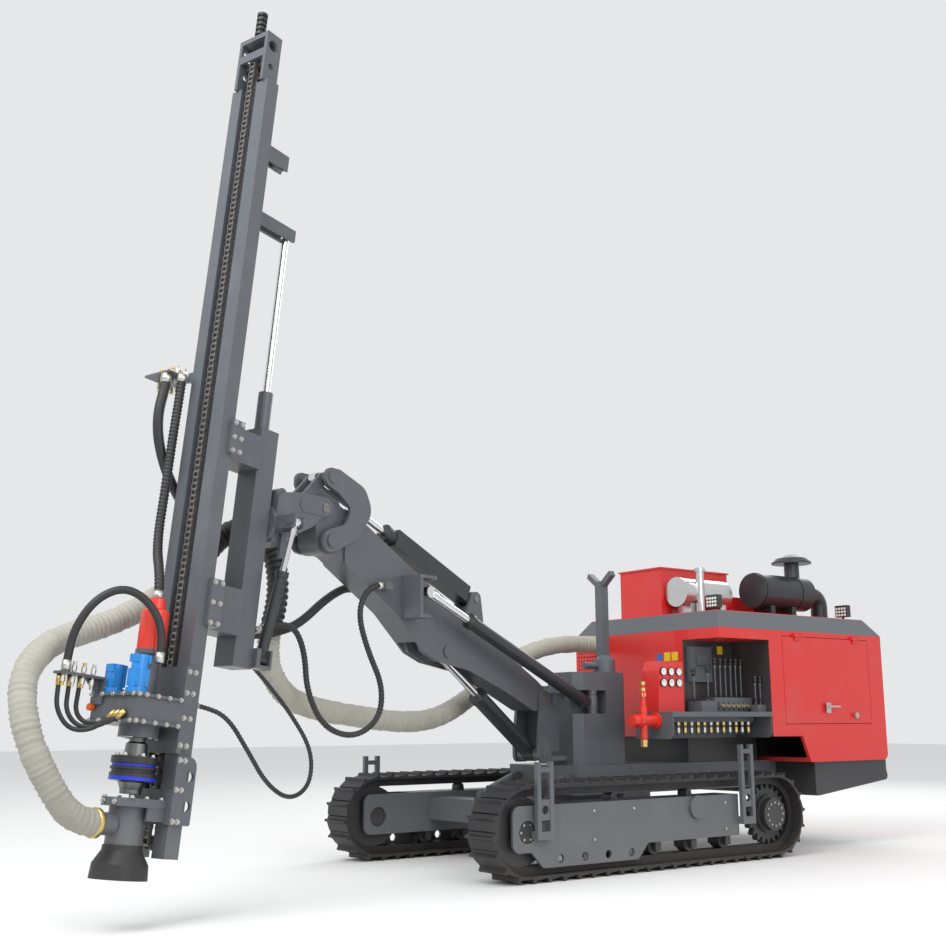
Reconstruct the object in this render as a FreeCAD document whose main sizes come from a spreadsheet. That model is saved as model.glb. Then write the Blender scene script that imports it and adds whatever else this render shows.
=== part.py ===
import FreeCAD, Part
import math
import os
import re

# Down-the-hole crawler drilling rig, in millimetres.
# Row frame: +X forward to the mast, +Y to the operator's side, +Z up.
# The origin is on the ground, midway between the tracks and their end wheels.

Vec = FreeCAD.Vector
X, Y, Z = Vec(1, 0, 0), Vec(0, 1, 0), Vec(0, 0, 1)
doc = FreeCAD.newDocument("rig")
sheet = doc.addObject("Spreadsheet::Sheet", "dims")

SIZES = (
    # alias, value, what it is
    ("wheel_reach", 1316, "middle to idler or sprocket axis"),
    ("track_radius", 342, "end wheel axis to the grousers' tips"),
    ("track_gauge", 950, "middle to each track's centre"),
    ("shoe_width", 300, "track shoe, side to side"),
    ("shoe_pitch", 137, "wanted distance from shoe to shoe"),
    ("shoe_thick", 20, "shoe plate"),
    ("grouser_height", 30, "bar that stands on each shoe"),
    ("link_height", 56, "chain link under the shoe"),
    ("link_width", 112, "chain link, side to side"),
    ("track_fit", 0.3, "gap between belt and the wheels in it"),
    ("roller_radius", 66, "bottom roller"),
    ("top_roller_radius", 28, "top roller"),
    ("beam_low", 205, "side frame, lower edge above the ground"),
    ("beam_high", 520, "side frame, upper edge above the ground"),
    ("beam_rear", -860, "side frame box, rear end"),
    ("beam_front", 980, "side frame box, front end"),
    ("beam_width", 250, "side frame box, side to side"),
    ("fork_front", 1450, "idler fork, front end"),
    ("fork_plate", 22, "idler fork cheek"),
    ("pivot_x", -378, "cross shaft that the side frames rock on"),
    ("pivot_up", 400, "height of the cross shaft"),
    ("pivot_radius", 62, "cross shaft"),
    ("cap_radius", 88, "end cap of the cross shaft"),
    ("step_bar", 34, "upright bar of a step bracket"),
    ("frame_half", 430, "centre frame, half width"),
    ("frame_low", 520, "centre frame, underside"),
    ("frame_high", 745, "centre frame, deck"),
    ("frame_front", 260, "centre frame, front end"),
    ("frame_rear", -2129.7, "centre frame, rear end"),
    ("column_front", 90, "oil column, front face"),
    ("column_rear", -560, "oil column, rear face"),
    ("column_half", 250, "oil column, half width"),
    ("column_high", 1480, "oil column, top"),
    ("column_chamfer", 130, "oil column, corner flat"),
    ("king_x", 240, "kingpin that the boom foot turns on"),
    ("king_radius", 45, "kingpin"),
    ("swing_rest", 16, "degrees the boom stands to the left"),
    ("root_out", 170, "kingpin to boom root pin"),
    ("root_up", 1270, "boom root pin above the ground"),
    ("root_radius", 35, "boom root pin"),
    ("pin_gap", 5, "side gap between an eye and its cheeks"),
    ("pin_fit", 0.05, "running clearance round a pin"),
    ("cheek", 25, "lug plate"),
    ("foot_half", 130, "boom foot, half width"),
    ("boom_half", 100, "boom tube, half width"),
    ("lift_base_out", 200, "kingpin to the lift cylinder's lower pin"),
    ("lift_base_up", 840, "lift cylinder's lower pin above the ground"),
    ("lift_eye_out", 1420, "kingpin to the lift cylinder's upper pin"),
    ("lift_eye_up", 1600, "lift cylinder's upper pin above the ground"),
    ("lift_bore", 64, "lift cylinder barrel radius"),
    ("lift_rod", 30, "lift cylinder rod radius"),
    ("tilt_base_out", 1030, "kingpin to the tilt cylinder's lower pin"),
    ("tilt_base_up", 2020, "tilt cylinder's lower pin above the ground"),
    ("tilt_bore", 58, "tilt cylinder barrel radius"),
    ("tilt_rod", 27, "tilt cylinder rod radius"),
    ("rocker_out", 2725, "kingpin to the rocker's pin in the boom nose"),
    ("rocker_up", 2268, "rocker's pin above the ground"),
    ("rocker_arm", 431, "rocker's pin to its upper eye"),
    ("head_out", 2745, "kingpin to the head's pin in the boom nose"),
    ("head_up", 2485, "head's pin above the ground"),
    ("head_arm", 187, "head's pin to the link's pin"),
    ("slew_base_x", -100, "slew cylinder knuckle"),
    ("slew_base_y", 214, "slew cylinder knuckle"),
    ("slew_base_up", 1250, "slew cylinder knuckle above the ground"),
    ("slew_eye_out", 1780, "kingpin to the slew cylinder's eye"),
    ("slew_eye_side", 210, "boom plane to the slew cylinder's eye"),
    ("slew_eye_up", 2000, "slew cylinder's eye above the ground"),
    ("slew_bore", 50, "slew cylinder barrel radius"),
    ("slew_rod", 30, "slew cylinder rod radius"),
    ("lean", 6.84, "degrees the mast leans back"),
    ("foot_out", 3919, "kingpin to the mast's rear face at its foot"),
    ("foot_up", 353, "mast's foot above the ground"),
    ("mast_width", 338, "mast, side to side"),
    ("mast_depth", 100, "mast, front to rear"),
    ("mast_length", 4950, "mast beam"),
    ("head_box_length", 374, "box on top of the mast"),
    ("head_box_width", 270, "box on top of the mast, side to side"),
    ("support_rear", 447, "mast's rear face to the support's rear face"),
    ("support_depth", 150, "support beam, front to rear"),
    ("support_width", 170, "support beam, side to side"),
    ("support_low", 1120, "support beam, lower end above the mast's foot"),
    ("support_high", 2640, "support beam, upper end above the mast's foot"),
    ("roll_up", 2050, "mast swing pin above the mast's foot"),
    ("roll_radius", 55, "mast swing pin"),
    ("comp_back", 372, "mast's rear face to the slide cylinder"),
    ("comp_bore", 48, "slide cylinder barrel radius"),
    ("comp_rod", 24, "slide cylinder rod radius"),
    ("comp_top", 2905, "slide cylinder barrel, upper end"),
    ("comp_eye", 4050, "slide cylinder's pin on the mast"),
    ("spindle_out", 255, "mast's rear face to the spindle's axis"),
    ("gear_width", 390, "gear case, side to side"),
    ("gear_front", 450, "mast's rear face to the gear case's front"),
    ("coupling_radius", 128, "flange of the coupling on the spindle"),
    ("neck_radius", 45, "spindle shaft in the gear case"),
    ("socket_radius", 38, "drill rod socket in the spindle"),
    ("socket_depth", 90, "drill rod socket in the spindle"),
    ("hood_radius", 100, "dust hood pipe"),
    ("bell_radius", 158, "rubber bell, at its lower edge"),
    ("shell_front", -930, "canopy, front face"),
    ("shell_rear", -3170, "canopy, rear face"),
    ("shell_half", 890, "canopy, half width"),
    ("shell_wall", 30, "canopy panels"),
    ("shell_high", 1863, "canopy, top of the red sides"),
    ("shell_low", 735, "canopy, lower edge of the red sides"),
    ("roof_high", 2020, "roof above the ground"),
    ("roof_inset", 110, "roof trim's slope inwards"),
    ("bay_rear", -1560, "operator's bay, rear end"),
    ("bay_low", 960, "operator's bay, floor"),
    ("bay_high", 1775, "operator's bay, underside of the header"),
    ("bay_depth", 420, "operator's bay, side to side"),
    ("door_front", -1735, "side door, front edge"),
    ("door_rear", -2960, "side door, rear edge"),
    ("door_low", 1060, "side door, lower edge"),
    ("door_high", 1820, "side door, upper edge"),
    ("door_gap", 5, "gap round a door"),
)
for row, (alias, value, note) in enumerate(SIZES, 1):
    sheet.set("A%d" % row, note)
    sheet.set("B%d" % row, str(value))
    sheet.setAlias("B%d" % row, alias)
doc.recompute()


class Dims:
    def __getattr__(self, alias):
        return float(sheet.get(alias))


d = Dims()
NAMES = {alias for alias, value, note in SIZES}


def named(text):
    """Expression text with each size's name pointed at its cell."""
    return re.sub(r"[a-z][a-z_]+", lambda m: "dims." + m.group() if m.group() in NAMES else m.group(), str(text))


def bind(thing, **sizes):
    for prop, text in sizes.items():
        thing.setExpression(prop.replace("__", "."), named(text))
    return thing


def box(size, at, mid=""):
    """Block of three sizes; along the axes in mid the place is its middle, elsewhere its lowest corner."""
    block = doc.addObject("Part::Box", "block")
    for axis, prop, long, place in zip("xyz", ("Length", "Width", "Height"), size, at):
        bind(block, **{prop: long})
        shift = "(%s) - (%s) / 2" % (place, long) if axis in mid else "0 + (%s)" % place
        bind(block, **{"Placement__Base__" + axis: shift})
    return block


def rod(axis, radius, length, at, mid=False, bore=None):
    """Round bar along x, y or z from its place, or about it; a bore makes it a ring."""
    bar = doc.addObject("Part::Cylinder", "bar")
    bind(bar, Radius=radius, Height=length)
    bar.Placement.Rotation = FreeCAD.Rotation(Z, {"x": X, "y": Y, "z": Z}[axis])
    for name, place in zip("xyz", at):
        shift = "(%s) - (%s) / 2" % (place, length) if mid and name == axis else "0 + (%s)" % place
        bind(bar, **{"Placement__Base__" + name: shift})
    if bore is None:
        return bar
    return cut(bar, [rod(axis, bore, length, at, mid)])


def fuse(*shapes):
    joined = doc.addObject("Part::MultiFuse", "joined")
    joined.Shapes = list(shapes)
    joined.Refine = True
    return joined


def group(*shapes):
    held = doc.addObject("Part::Compound", "group")
    held.Links = list(shapes)
    return held


def cut(base, tools):
    rest = doc.addObject("Part::Cut", "rest")
    rest.Base = base
    rest.Tool = tools[0] if len(tools) == 1 else fuse(*tools)
    rest.Refine = True
    return rest


def moved(shape, place):
    held = group(shape)
    held.Placement.Base = Vec(*place)
    return held


def rounded(*corners):
    """Closed outline of straight runs; a corner's third number is its radius."""
    ends = []
    for i, corner in enumerate(corners):
        p = Vec(corner[0], corner[1], 0)
        if len(corner) == 2:
            ends.append((p, p, None))
            continue
        a = (Vec(*corners[i - 1][:2], 0) - p).normalize()
        b = (Vec(*corners[(i + 1) % len(corners)][:2], 0) - p).normalize()
        half = a.getAngle(b) / 2
        back = corner[2] / math.tan(half)
        middle = p + (a + b).normalize() * (corner[2] / math.sin(half) - corner[2])
        ends.append((p + a * back, p + b * back, middle))
    edges = []
    for i, (start, end, middle) in enumerate(ends):
        if middle is not None:
            edges.append(Part.Arc(start, middle, end))
        after = ends[(i + 1) % len(ends)][0]
        if (after - end).Length > 1e-6:
            edges.append(Part.LineSegment(end, after))
    return edges


PLANES = {"side": "XZ_Plane", "top": "XY_Plane", "front": "YZ_Plane"}


def plate(plane, outline, thick, holes=(), at=0):
    """Body: an outline on its side, top or front plane, padded both ways about the distance at."""
    body = doc.addObject("PartDesign::Body", "plate")
    sketch = body.newObject("Sketcher::SketchObject", "outline")
    sketch.AttachmentSupport = ([o for o in body.Origin.OriginFeatures if o.Role == PLANES[plane]][0], "")
    sketch.MapMode = "FlatFace"
    sketch.AttachmentOffset.Base.z = -at if plane == "side" else at
    for edge in outline:
        sketch.addGeometry(edge, False)
    for x, y, radius in holes:
        sketch.addGeometry(Part.Circle(Vec(x, y, 0), Z, radius), False)
    pad = body.newObject("PartDesign::Pad", "pad")
    pad.Profile = sketch
    pad.SideType = "Symmetric"
    bind(pad, Length=thick)
    return body


def spun(profile, axis="z"):
    """Body turned from a half section given as radius and height pairs."""
    body = doc.addObject("PartDesign::Body", "turned")
    sketch = body.newObject("Sketcher::SketchObject", "section")
    sketch.AttachmentSupport = ([o for o in body.Origin.OriginFeatures if o.Role == "XZ_Plane"][0], "")
    sketch.MapMode = "FlatFace"
    for edge in rounded(*profile):
        sketch.addGeometry(edge, False)
    turn = body.newObject("PartDesign::Revolution", "turn")
    turn.Profile = sketch
    turn.ReferenceAxis = (sketch, ["V_Axis"])
    turn.Angle = 360
    return body


def loft(*sections):
    """Solid through closed polygons given as lists of points."""
    shape = Part.makeLoft([Part.makePolygon([Vec(*p) for p in s + [s[0]]]) for s in sections], True, True)
    solid = doc.addObject("Part::Feature", "loft")
    solid.Shape = shape
    return solid


def hose_solid(radius, points):
    """Tube along straight runs joined by tangent arcs, as large as the two runs of each corner allow."""
    p = [Vec(*point) for point in points]
    edges, start, least = [], p[0], None
    for before, corner, after in zip(p, p[1:], p[2:]):
        a, b = before - corner, after - corner
        half = a.getAngle(b) / 2
        back = 0.45 * min(a.Length, b.Length)
        bend = back * math.tan(half)
        least = bend if least is None else min(least, bend)
        a.normalize()
        b.normalize()
        middle = corner + (a + b).normalize() * (bend / math.sin(half) - bend)
        edges.append(Part.LineSegment(start, corner + a * back).toShape())
        edges.append(Part.Arc(corner + a * back, middle, corner + b * back).toShape())
        start = corner + b * back
    edges.append(Part.LineSegment(start, p[-1]).toShape())
    path = Part.Wire(edges)
    section = Part.Wire([Part.Circle(p[0], p[1] - p[0], radius).toShape()])
    tube = doc.addObject("Part::Feature", "tube")
    tube.Shape = path.makePipeShell([section], True, False)
    share = tube.Shape.Volume / (math.pi * radius ** 2 * path.Length)
    print("tube radius %d, length %d, least bend %d, volume share %.4f" % (radius, path.Length, least, share))
    return tube


nodes = []
HOME = FreeCAD.Placement()


def node(label, shape, frame=HOME):
    held = group(shape) if shape.TypeId in ("Part::Box", "Part::Cylinder") else shape
    held.Label = label
    held.Placement = frame
    nodes.append(held)
    return held


def at(frame, x=0, y=0, z=0, axis=Y, turn=0):
    return frame.multiply(FreeCAD.Placement(Vec(x, y, z), FreeCAD.Rotation(axis, turn)))


def towards(frame, start, end):
    """Frame at start whose X axis points at end, with Y kept level."""
    run = Vec(*end) - Vec(*start)
    heading = math.degrees(math.atan2(run.y, run.x))
    rise = math.degrees(math.atan2(run.z, math.hypot(run.x, run.y)))
    turn = FreeCAD.Rotation(Z, heading).multiply(FreeCAD.Rotation(Y, -rise))
    return frame.multiply(FreeCAD.Placement(Vec(*start), turn))


swing = at(HOME, d.king_x, 0, 0, Z, d.swing_rest)
root = at(swing, d.root_out, 0, d.root_up)
mast = at(swing, d.foot_out, 0, d.foot_up, Y, -d.lean)


def from_root(out, up):
    """A point of the boom's plane, measured from the root pin."""
    return out - d.root_out, up - d.root_up


def on_mast(out, up):
    """The same kind of point, measured along the mast from its foot."""
    c, s = math.cos(math.radians(d.lean)), math.sin(math.radians(d.lean))
    x, z = out - d.foot_out, up - d.foot_up
    return x * c + z * s, z * c - x * s


# Tracks: a loop of shoe plates with one grouser each, and the links inside it
def loop_point(s, radius):
    """Point at the distance s round the belt's path, at a radius from the wheel axes."""
    straight, half_turn = 2 * d.wheel_reach, math.pi * d.track_radius
    s = s % (2 * (straight + half_turn))
    if s < straight:
        return -d.wheel_reach + s, d.track_radius + radius
    if s < straight + half_turn:
        a = math.pi / 2 - (s - straight) / d.track_radius
        return d.wheel_reach + radius * math.cos(a), d.track_radius + radius * math.sin(a)
    if s < 2 * straight + half_turn:
        return d.wheel_reach - (s - straight - half_turn), d.track_radius - radius
    a = -math.pi / 2 - (s - 2 * straight - half_turn) / d.track_radius
    return -d.wheel_reach + radius * math.cos(a), d.track_radius + radius * math.sin(a)


def stadium(radius):
    r, w, h = radius, d.wheel_reach, d.track_radius
    return [Part.LineSegment(Vec(-w, h + r, 0), Vec(w, h + r, 0)),
            Part.Arc(Vec(w, h + r, 0), Vec(w + r, h, 0), Vec(w, h - r, 0)),
            Part.LineSegment(Vec(w, h - r, 0), Vec(-w, h - r, 0)),
            Part.Arc(Vec(-w, h - r, 0), Vec(-w - r, h, 0), Vec(-w, h + r, 0))]


track_length = 4 * d.wheel_reach + 2 * math.pi * d.track_radius
shoes = round(track_length / d.shoe_pitch)
pitch = track_length / shoes
plate_radius = d.track_radius - d.grouser_height
link_radius = plate_radius - d.shoe_thick
inner_radius = link_radius - d.link_height
SHOE = (
    # share of the pitch, height above the plate
    (0.02, -4), (0.16, 0), (0.22, d.grouser_height), (0.32, d.grouser_height), (0.40, 8), (0.94, 0),
    (0.97, -d.shoe_thick / 2),
)
tread = [Vec(*loop_point((i + share) * pitch, plate_radius + rise), 0)
         for i in range(shoes) for share, rise in SHOE]
tread_edges = [Part.LineSegment(a, b) for a, b in zip(tread, tread[1:] + tread[:1])]
for name, side in (("left", 1), ("right", -1)):
    belt = plate("side", tread_edges + stadium(link_radius), "shoe_width")
    links = plate("side", stadium(link_radius + 2) + stadium(inner_radius), "link_width")
    node("track_" + name, fuse(belt, links), at(HOME, 0, side * d.track_gauge, 0))

# Wheels inside the tracks: idlers, toothed final drives, bottom and top rollers
wheel = inner_radius - d.track_fit
TOOTH = ((0.0, wheel - 34), (0.3, wheel - 34), (0.42, wheel), (0.78, wheel), (0.9, wheel - 34))
teeth = 21
idlers, drives, rollers = [], [], []
for side in (1, -1):
    place = (0, side * d.track_gauge, 0)
    idlers.append(moved(fuse(rod("y", wheel, "link_width - 12", ("wheel_reach", 0, "track_radius"), True),
                             rod("y", 78, "beam_width - 36", ("wheel_reach", 0, "track_radius"), True)), place))
    tips = []
    for i in range(teeth):
        for share, r in TOOTH:
            a = 2 * math.pi * (i + share) / teeth
            tips.append(Vec(-d.wheel_reach + r * math.cos(a), d.track_radius + r * math.sin(a), 0))
    toothed = plate("side", [Part.LineSegment(a, b) for a, b in zip(tips, tips[1:] + tips[:1])], "link_width / 2")
    hub = fuse(toothed, rod("y", 150, "link_width", ("0 - wheel_reach", 0, "track_radius"), True),
               rod("y", 128, 112, ("0 - wheel_reach", "(%d) * 56" % side, "track_radius"), True),
               rod("y", 112, 150, ("0 - wheel_reach", "0 - (%d) * 75" % side, "track_radius"), True))
    drives.append(moved(hub, place))
    for i in range(5):
        x = -d.wheel_reach + 560 + i * (2 * d.wheel_reach - 1080) / 4
        up = d.track_radius - inner_radius + d.track_fit + d.roller_radius
        hangers = [box((56, 30, "beam_low - 135.3"), (x, s * 80, 135), "xy") for s in (1, -1)]
        rollers.append(moved(fuse(rod("y", "roller_radius", "link_width - 12", (x, 0, up), True),
                                  rod("y", 30, "beam_width - 60", (x, 0, up), True), *hangers), place))
    for x in (-380, 420):
        up = d.track_radius + inner_radius - d.track_fit - d.top_roller_radius
        stand = box((60, "link_width - 20", up - d.beam_high), (x, 0, "beam_high"), "xy")
        rollers.append(moved(fuse(rod("y", "top_roller_radius", "link_width - 20", (x, 0, up), True), stand), place))
node("idlers", group(*idlers))
node("final_drives", group(*drives))
node("rollers", group(*rollers))

# Side frames: box beam, idler fork, sprocket plate, roller guard, step brackets and lifting eyes
for name, side in (("left", 1), ("right", -1)):
    low, high = d.beam_low, d.beam_high
    outer = side * (d.beam_width / 2 - d.fork_plate / 2)
    core = cut(box(("beam_front - beam_rear", "beam_width", "beam_high - beam_low"), ("beam_rear", 0, "beam_low"), "y"),
               [box(("beam_front - beam_rear + 20", "link_width + 14", 50), ("beam_rear - 10", 0, "beam_low - 5"), "y")])
    fork = [plate("side", rounded((d.beam_front - 40, low), (d.fork_front, low, 60), (d.fork_front, high, 60),
                                  (d.beam_front - 40, high)), "fork_plate",
                  ((d.wheel_reach, d.track_radius, 78 + d.pin_fit),), s * outer) for s in (1, -1)]
    rear = plate("side", rounded((d.beam_rear + 60, low), (d.beam_rear + 60, high),
                                 (-d.wheel_reach - 110, high, 90), (-d.wheel_reach - 110, low, 90)),
                 "fork_plate", ((-d.wheel_reach, d.track_radius, 112 + d.pin_fit),), -outer)
    guard = plate("side", rounded((150, low + 5), (1290, low + 5), (1180, 95, 30), (260, 95, 30)), "fork_plate",
                  [(x, 150, 30) for x in (330, 560, 790, 1020)], outer)
    cap = rod("y", "cap_radius", 26, ("pivot_x", side * (d.beam_width / 2 + 13), "pivot_up + 40"), True)
    steps = []
    for x, top in ((1200, 815), (-920, 905)):
        stand = side * (d.shoe_width / 2 + 2 + d.step_bar / 2)
        for dx in (-58, 58):
            steps.append(box(("step_bar", "step_bar", top - 290), (x + dx, stand, 290), "xy"))
        steps.append(box((150, "step_bar", 34), (x, stand, top - 70), "xy"))
        steps.append(box((150, "(shoe_width - beam_width) / 2 + step_bar + 12", 56),
                         (x, side * (d.beam_width / 2 + (d.shoe_width - d.beam_width) / 4 + d.step_bar / 2 - 4), 290), "xy"))
        steps.append(plate("side", rounded((x - 62, 420, 30), (x + 62, 420, 30), (x + 62, 560, 30), (x - 62, 560, 30)),
                           "fork_plate", ((x, 490, 30),), stand))
    node("side_frame_" + name, fuse(core, *fork, rear, guard, cap, *steps),
         at(HOME, 0, side * d.track_gauge, 0))

# Centre frame: deck box, rocking cross shaft, front cross beam, rocking cylinders
deck = cut(box(("frame_front - frame_rear", "2 * frame_half", "frame_high - frame_low"),
               ("frame_rear", 0, "frame_low"), "y"),
           [box(("0 - frame_rear - 1000", "2 * frame_half - 60", "frame_high - frame_low"),
                ("frame_rear + 60", 0, "frame_low - 30"), "y"),
            box(("0 - frame_rear - 2043", "2 * frame_half + 10", 30), ("frame_rear - 1", 0, "shell_low - 0.3"), "y")])
saddle = box((300, "2 * frame_half", "frame_low - 290"), ("pivot_x", 0, 290), "xy")
shaft = rod("y", "pivot_radius", "2 * (track_gauge - beam_width / 2) - 0.6", ("pivot_x", 0, "pivot_up"), True)
front_beam = box((220, "2 * (track_gauge - beam_width / 2) - 0.6", 180), (700, 0, 300), "xy")
rams = []
for side in (1, -1):
    high_end, low_end = (320, side * 320, 640), (640, side * 320, 512)
    slope = towards(HOME, high_end, low_end)
    ram = fuse(rod("x", 40, 230, (20, 0, 0)), rod("x", 22, 90, (240, 0, 0)), box((60, 40, 60), (-6, 0, 0), "yz"))
    ram.Placement = slope
    rams.append(fuse(ram, box((59.7, 70, 90), ("frame_front + 0.3", side * 320, 640), "yz"),
                     box((70, 60, 60), (640, side * 320, 480.3), "xy")))
node("centre_frame", group(fuse(deck, saddle, shaft), front_beam, *rams))

# Oil column with the pocket of the slew cylinder and the kingpin's ears
c = d.column_chamfer
outline = rounded((d.column_front, -d.column_half + c), (d.column_front, d.column_half - c / 2),
                  (d.column_front - c / 2, d.column_half), (d.column_rear + c, d.column_half),
                  (d.column_rear, d.column_half - c), (d.column_rear, -d.column_half + c),
                  (d.column_rear + c, -d.column_half), (d.column_front - c, -d.column_half))
tank_high = d.column_high - d.frame_high
tank = plate("top", outline, "column_high - frame_high", (), d.frame_high + tank_high / 2)
lid = plate("top", outline, 14, (), d.column_high + 7)
pocket = box(("column_front - slew_base_x + 140", 200, 190), ("slew_base_x - 130", "slew_base_y - 70", "slew_base_up - 95"))
ears = []
for up in (800, 1340):
    ears.append(plate("top", rounded((d.column_front - 20, -110), (d.king_x, -85, 60), (d.king_x + 75, 0, 75),
                                     (d.king_x, 85, 60), (d.column_front - 20, 110)), 40, (), up))
pins = [rod("z", "king_radius", 620, ("king_x", 0, 760))]
bearings = [rod("z", 24, 190, ("slew_base_x", "slew_base_y", "slew_base_up - 95")),
            rod("z", 40, 35, ("slew_base_x", "slew_base_y", "slew_base_up - 95")),
            rod("z", 40, 35, ("slew_base_x", "slew_base_y", "slew_base_up + 60"))]
column = fuse(cut(tank, [pocket]), lid, *ears, *pins, *bearings)

# Cradle post behind the column
vee = plate("front", rounded((-40, 2240), (40, 2240), (150, 2330), (130, 2370), (30, 2290), (-30, 2290), (-130, 2370),
                             (-150, 2330)), 60, (), -440)
cradle_post = fuse(box((80, 80, 780), (-440, 0, "column_high + 14.3"), "xy"), vee)

# Boom foot: turns on the kingpin between the column's ears
foot_side = rounded((85, 775, 30), (d.lift_base_out + 70, 775, 60), (d.lift_base_out + 72, 960, 90),
                    (d.root_out + 68, 1160, 90), (d.root_out + 68, d.root_up + 68, 66),
                    (d.root_out - 68, d.root_up + 68, 66), (100, 1200, 60), (-20, 1200, 30), (-20, 860, 30), (85, 860))
foot_plates, bosses = [], []
for side in (1, -1):
    foot_plates.append(plate("side", foot_side, "cheek", ((d.root_out, d.root_up, d.root_radius + d.pin_fit),
                                                          (d.lift_base_out, d.lift_base_up, 30 + d.pin_fit)),
                             side * (d.foot_half - d.cheek / 2)))
    bosses.append(rod("y", 54, 55, ("lift_base_out", side * 77.5, "lift_base_up"), True, "30 + pin_fit"))
sleeve = rod("z", 74, 490, (0, 0, 825))
web = box((20, "2 * foot_half - 2", 330), (64, 0, 850), "y")
foot_body = cut(fuse(*foot_plates, *bosses, sleeve, web), [rod("z", "king_radius + pin_fit", 490, (0, 0, 825))])
node("boom_foot", foot_body, swing)
node("foot_pins", group(rod("y", "root_radius", "2 * foot_half + 4", ("root_out", 0, "root_up"), True),
                        rod("y", 30, "2 * foot_half + 4", ("lift_base_out", 0, "lift_base_up"), True)), swing)

# Boom: box from the root eye to the nose, with the lugs and the slew bracket that it carries
N = from_root(d.rocker_out, d.rocker_up)
H = from_root(d.head_out, d.head_up)
T = from_root(d.tilt_base_out, d.tilt_base_up)
E = from_root(d.lift_eye_out, d.lift_eye_up)
B = from_root(d.slew_eye_out, d.slew_eye_up)
boom_side = rounded((-30, -80, 60), (130, -92, 120), (547, 64, 300), (972, 200, 200), (E[0] + 84, E[1] - 79, 60),
                    (E[0] + 269, E[1] - 14, 80), (1843, 580, 200), (N[0] - 100, 925, 100), (N[0] + 60, N[1] - 88, 80),
                    (N[0] + 76, N[1] + 40, 60), (H[0] + 74, H[1] + 10, 60), (H[0] + 30, H[1] + 72, 60),
                    (H[0] - 110, H[1] + 66, 80), (2130, 1148, 200), (1760, 955, 300), (780, 480, 300), (80, 150, 120),
                    (-60, 70, 60))
tube = plate("side", boom_side, "2 * boom_half",
             ((0, 0, d.root_radius + d.pin_fit), (N[0], N[1], 40 + d.pin_fit), (H[0], H[1], 40 + d.pin_fit)))
channel = plate("side", rounded((620, 40), (1000, 100), (1640, 230), (1600, 400, 40), (1320, 470, 60), (1180, 470, 60),
                                (800, 250, 60)), 164)
slim = [box((420, 20, 520), (N[0] - 190, side * (d.boom_half - 14 + 10), N[1] - 150), "y") for side in (1, -1)]
gusset = rounded((E[0] - 62, E[1] - 20, 58), (E[0] - 10, E[1] - 66, 50), (E[0] + 84, E[1] - 74, 40),
                 (E[0] + 269, E[1] - 8, 50), (E[0] + 330, E[1] + 150), (E[0] - 40, E[1] + 150), (E[0] - 66, E[1] + 40, 40))
lift_lugs = []
for side in (1, -1):
    lift_lugs.append(plate("side", gusset, "boom_half - 45 - pin_gap - 4", (), side * (50 + (d.boom_half - 54) / 2)))
    lift_lugs.append(rod("y", 44, 12, (E[0], side * (d.boom_half + 5.5), E[1]), True))
tilt_lugs = [plate("side", rounded((T[0] - 122, T[1] - 330), (T[0] + 150, T[1] - 200), (T[0] + 62, T[1] + 10, 50),
                                   (T[0] + 10, T[1] + 60, 50), (T[0] - 60, T[1] + 40, 50)), "cheek",
                   ((T[0], T[1], 28 + d.pin_fit),), side * (45 + d.pin_gap + d.cheek / 2)) for side in (1, -1)]
slew_fork = [box((34, 150, 300), (B[0] + 132, "slew_eye_side - 10", B[1] - 190), "y"),
             box((34, 60, 260), (B[0] + 132, "boom_half + 10", B[1] - 170), "y"),
             plate("top", rounded((B[0] + 164, 96), (B[0] + 164, 285, 30), (B[0] - 46, 285, 62), (B[0] - 46, 165, 50),
                                  (B[0] + 60, 96)), 22, (), B[1] + 99),
             plate("top", rounded((B[0] + 164, 96), (B[0] + 164, 285, 30), (B[0] + 20, 285, 50), (B[0] + 20, 96)), 22, (),
                   B[1] - 179)]
hose_clamps = [box((70, 70, 50), (1980, side * 134.7, 748), "xyz") for side in (1, -1)]
node("boom", fuse(cut(tube, [channel, *slim]), *lift_lugs, *tilt_lugs, *slew_fork, *hose_clamps), root)
node("boom_pins", group(rod("y", 40, "2 * (boom_half - 14 + pin_gap + cheek) + 4", (H[0], 0, H[1]), True),
                        rod("y", 28, "90 + 2 * pin_gap + 2 * cheek + 16", (T[0], 0, T[1]), True)), root)


def barrel(bore, length, eye, width, rod_radius, pin):
    """Barrel along X with its base eye at the origin and a bore open at the far end."""
    outer = fuse(rod("x", bore, length - eye - 28, (eye + 28, 0, 0)), rod("y", eye, width, (0, 0, 0), True),
                 box((eye + 30, width, eye), (0, 0, 0), "yz"),
                 rod("x", "(%s) + 8" % bore, 36, (length - 36, 0, 0)))
    inner = [rod("x", "(%s) + pin_fit" % rod_radius, length - eye - 30, (eye + 30, 0, 0))]
    return cut(outer, inner + ([rod("y", pin + d.pin_fit, 400, (0, 0, 0), True)] if pin else []))


def piston(radius, start, reach, eye, width):
    """Rod along X from its end inside the barrel to a solid eye at the far pin."""
    return fuse(rod("x", radius, reach - start, (start, 0, 0)), rod("x", "(%s) + 5" % radius, 60, (reach - eye - 50, 0, 0)),
                rod("y", eye, width, (reach, 0, 0), True))


def span(start, end):
    return (Vec(*end) - Vec(*start)).Length


lift_base, lift_eye = (d.lift_base_out, 0, d.lift_base_up), (d.lift_eye_out, 0, d.lift_eye_up)
lift_frame = towards(swing, lift_base, lift_eye)
node("lift_barrel", barrel("lift_bore", 850, 58, 90, "lift_rod", 30), lift_frame)
node("lift_rod", piston("lift_rod", 420, span(lift_base, lift_eye), 58, 90), lift_frame)

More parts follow.
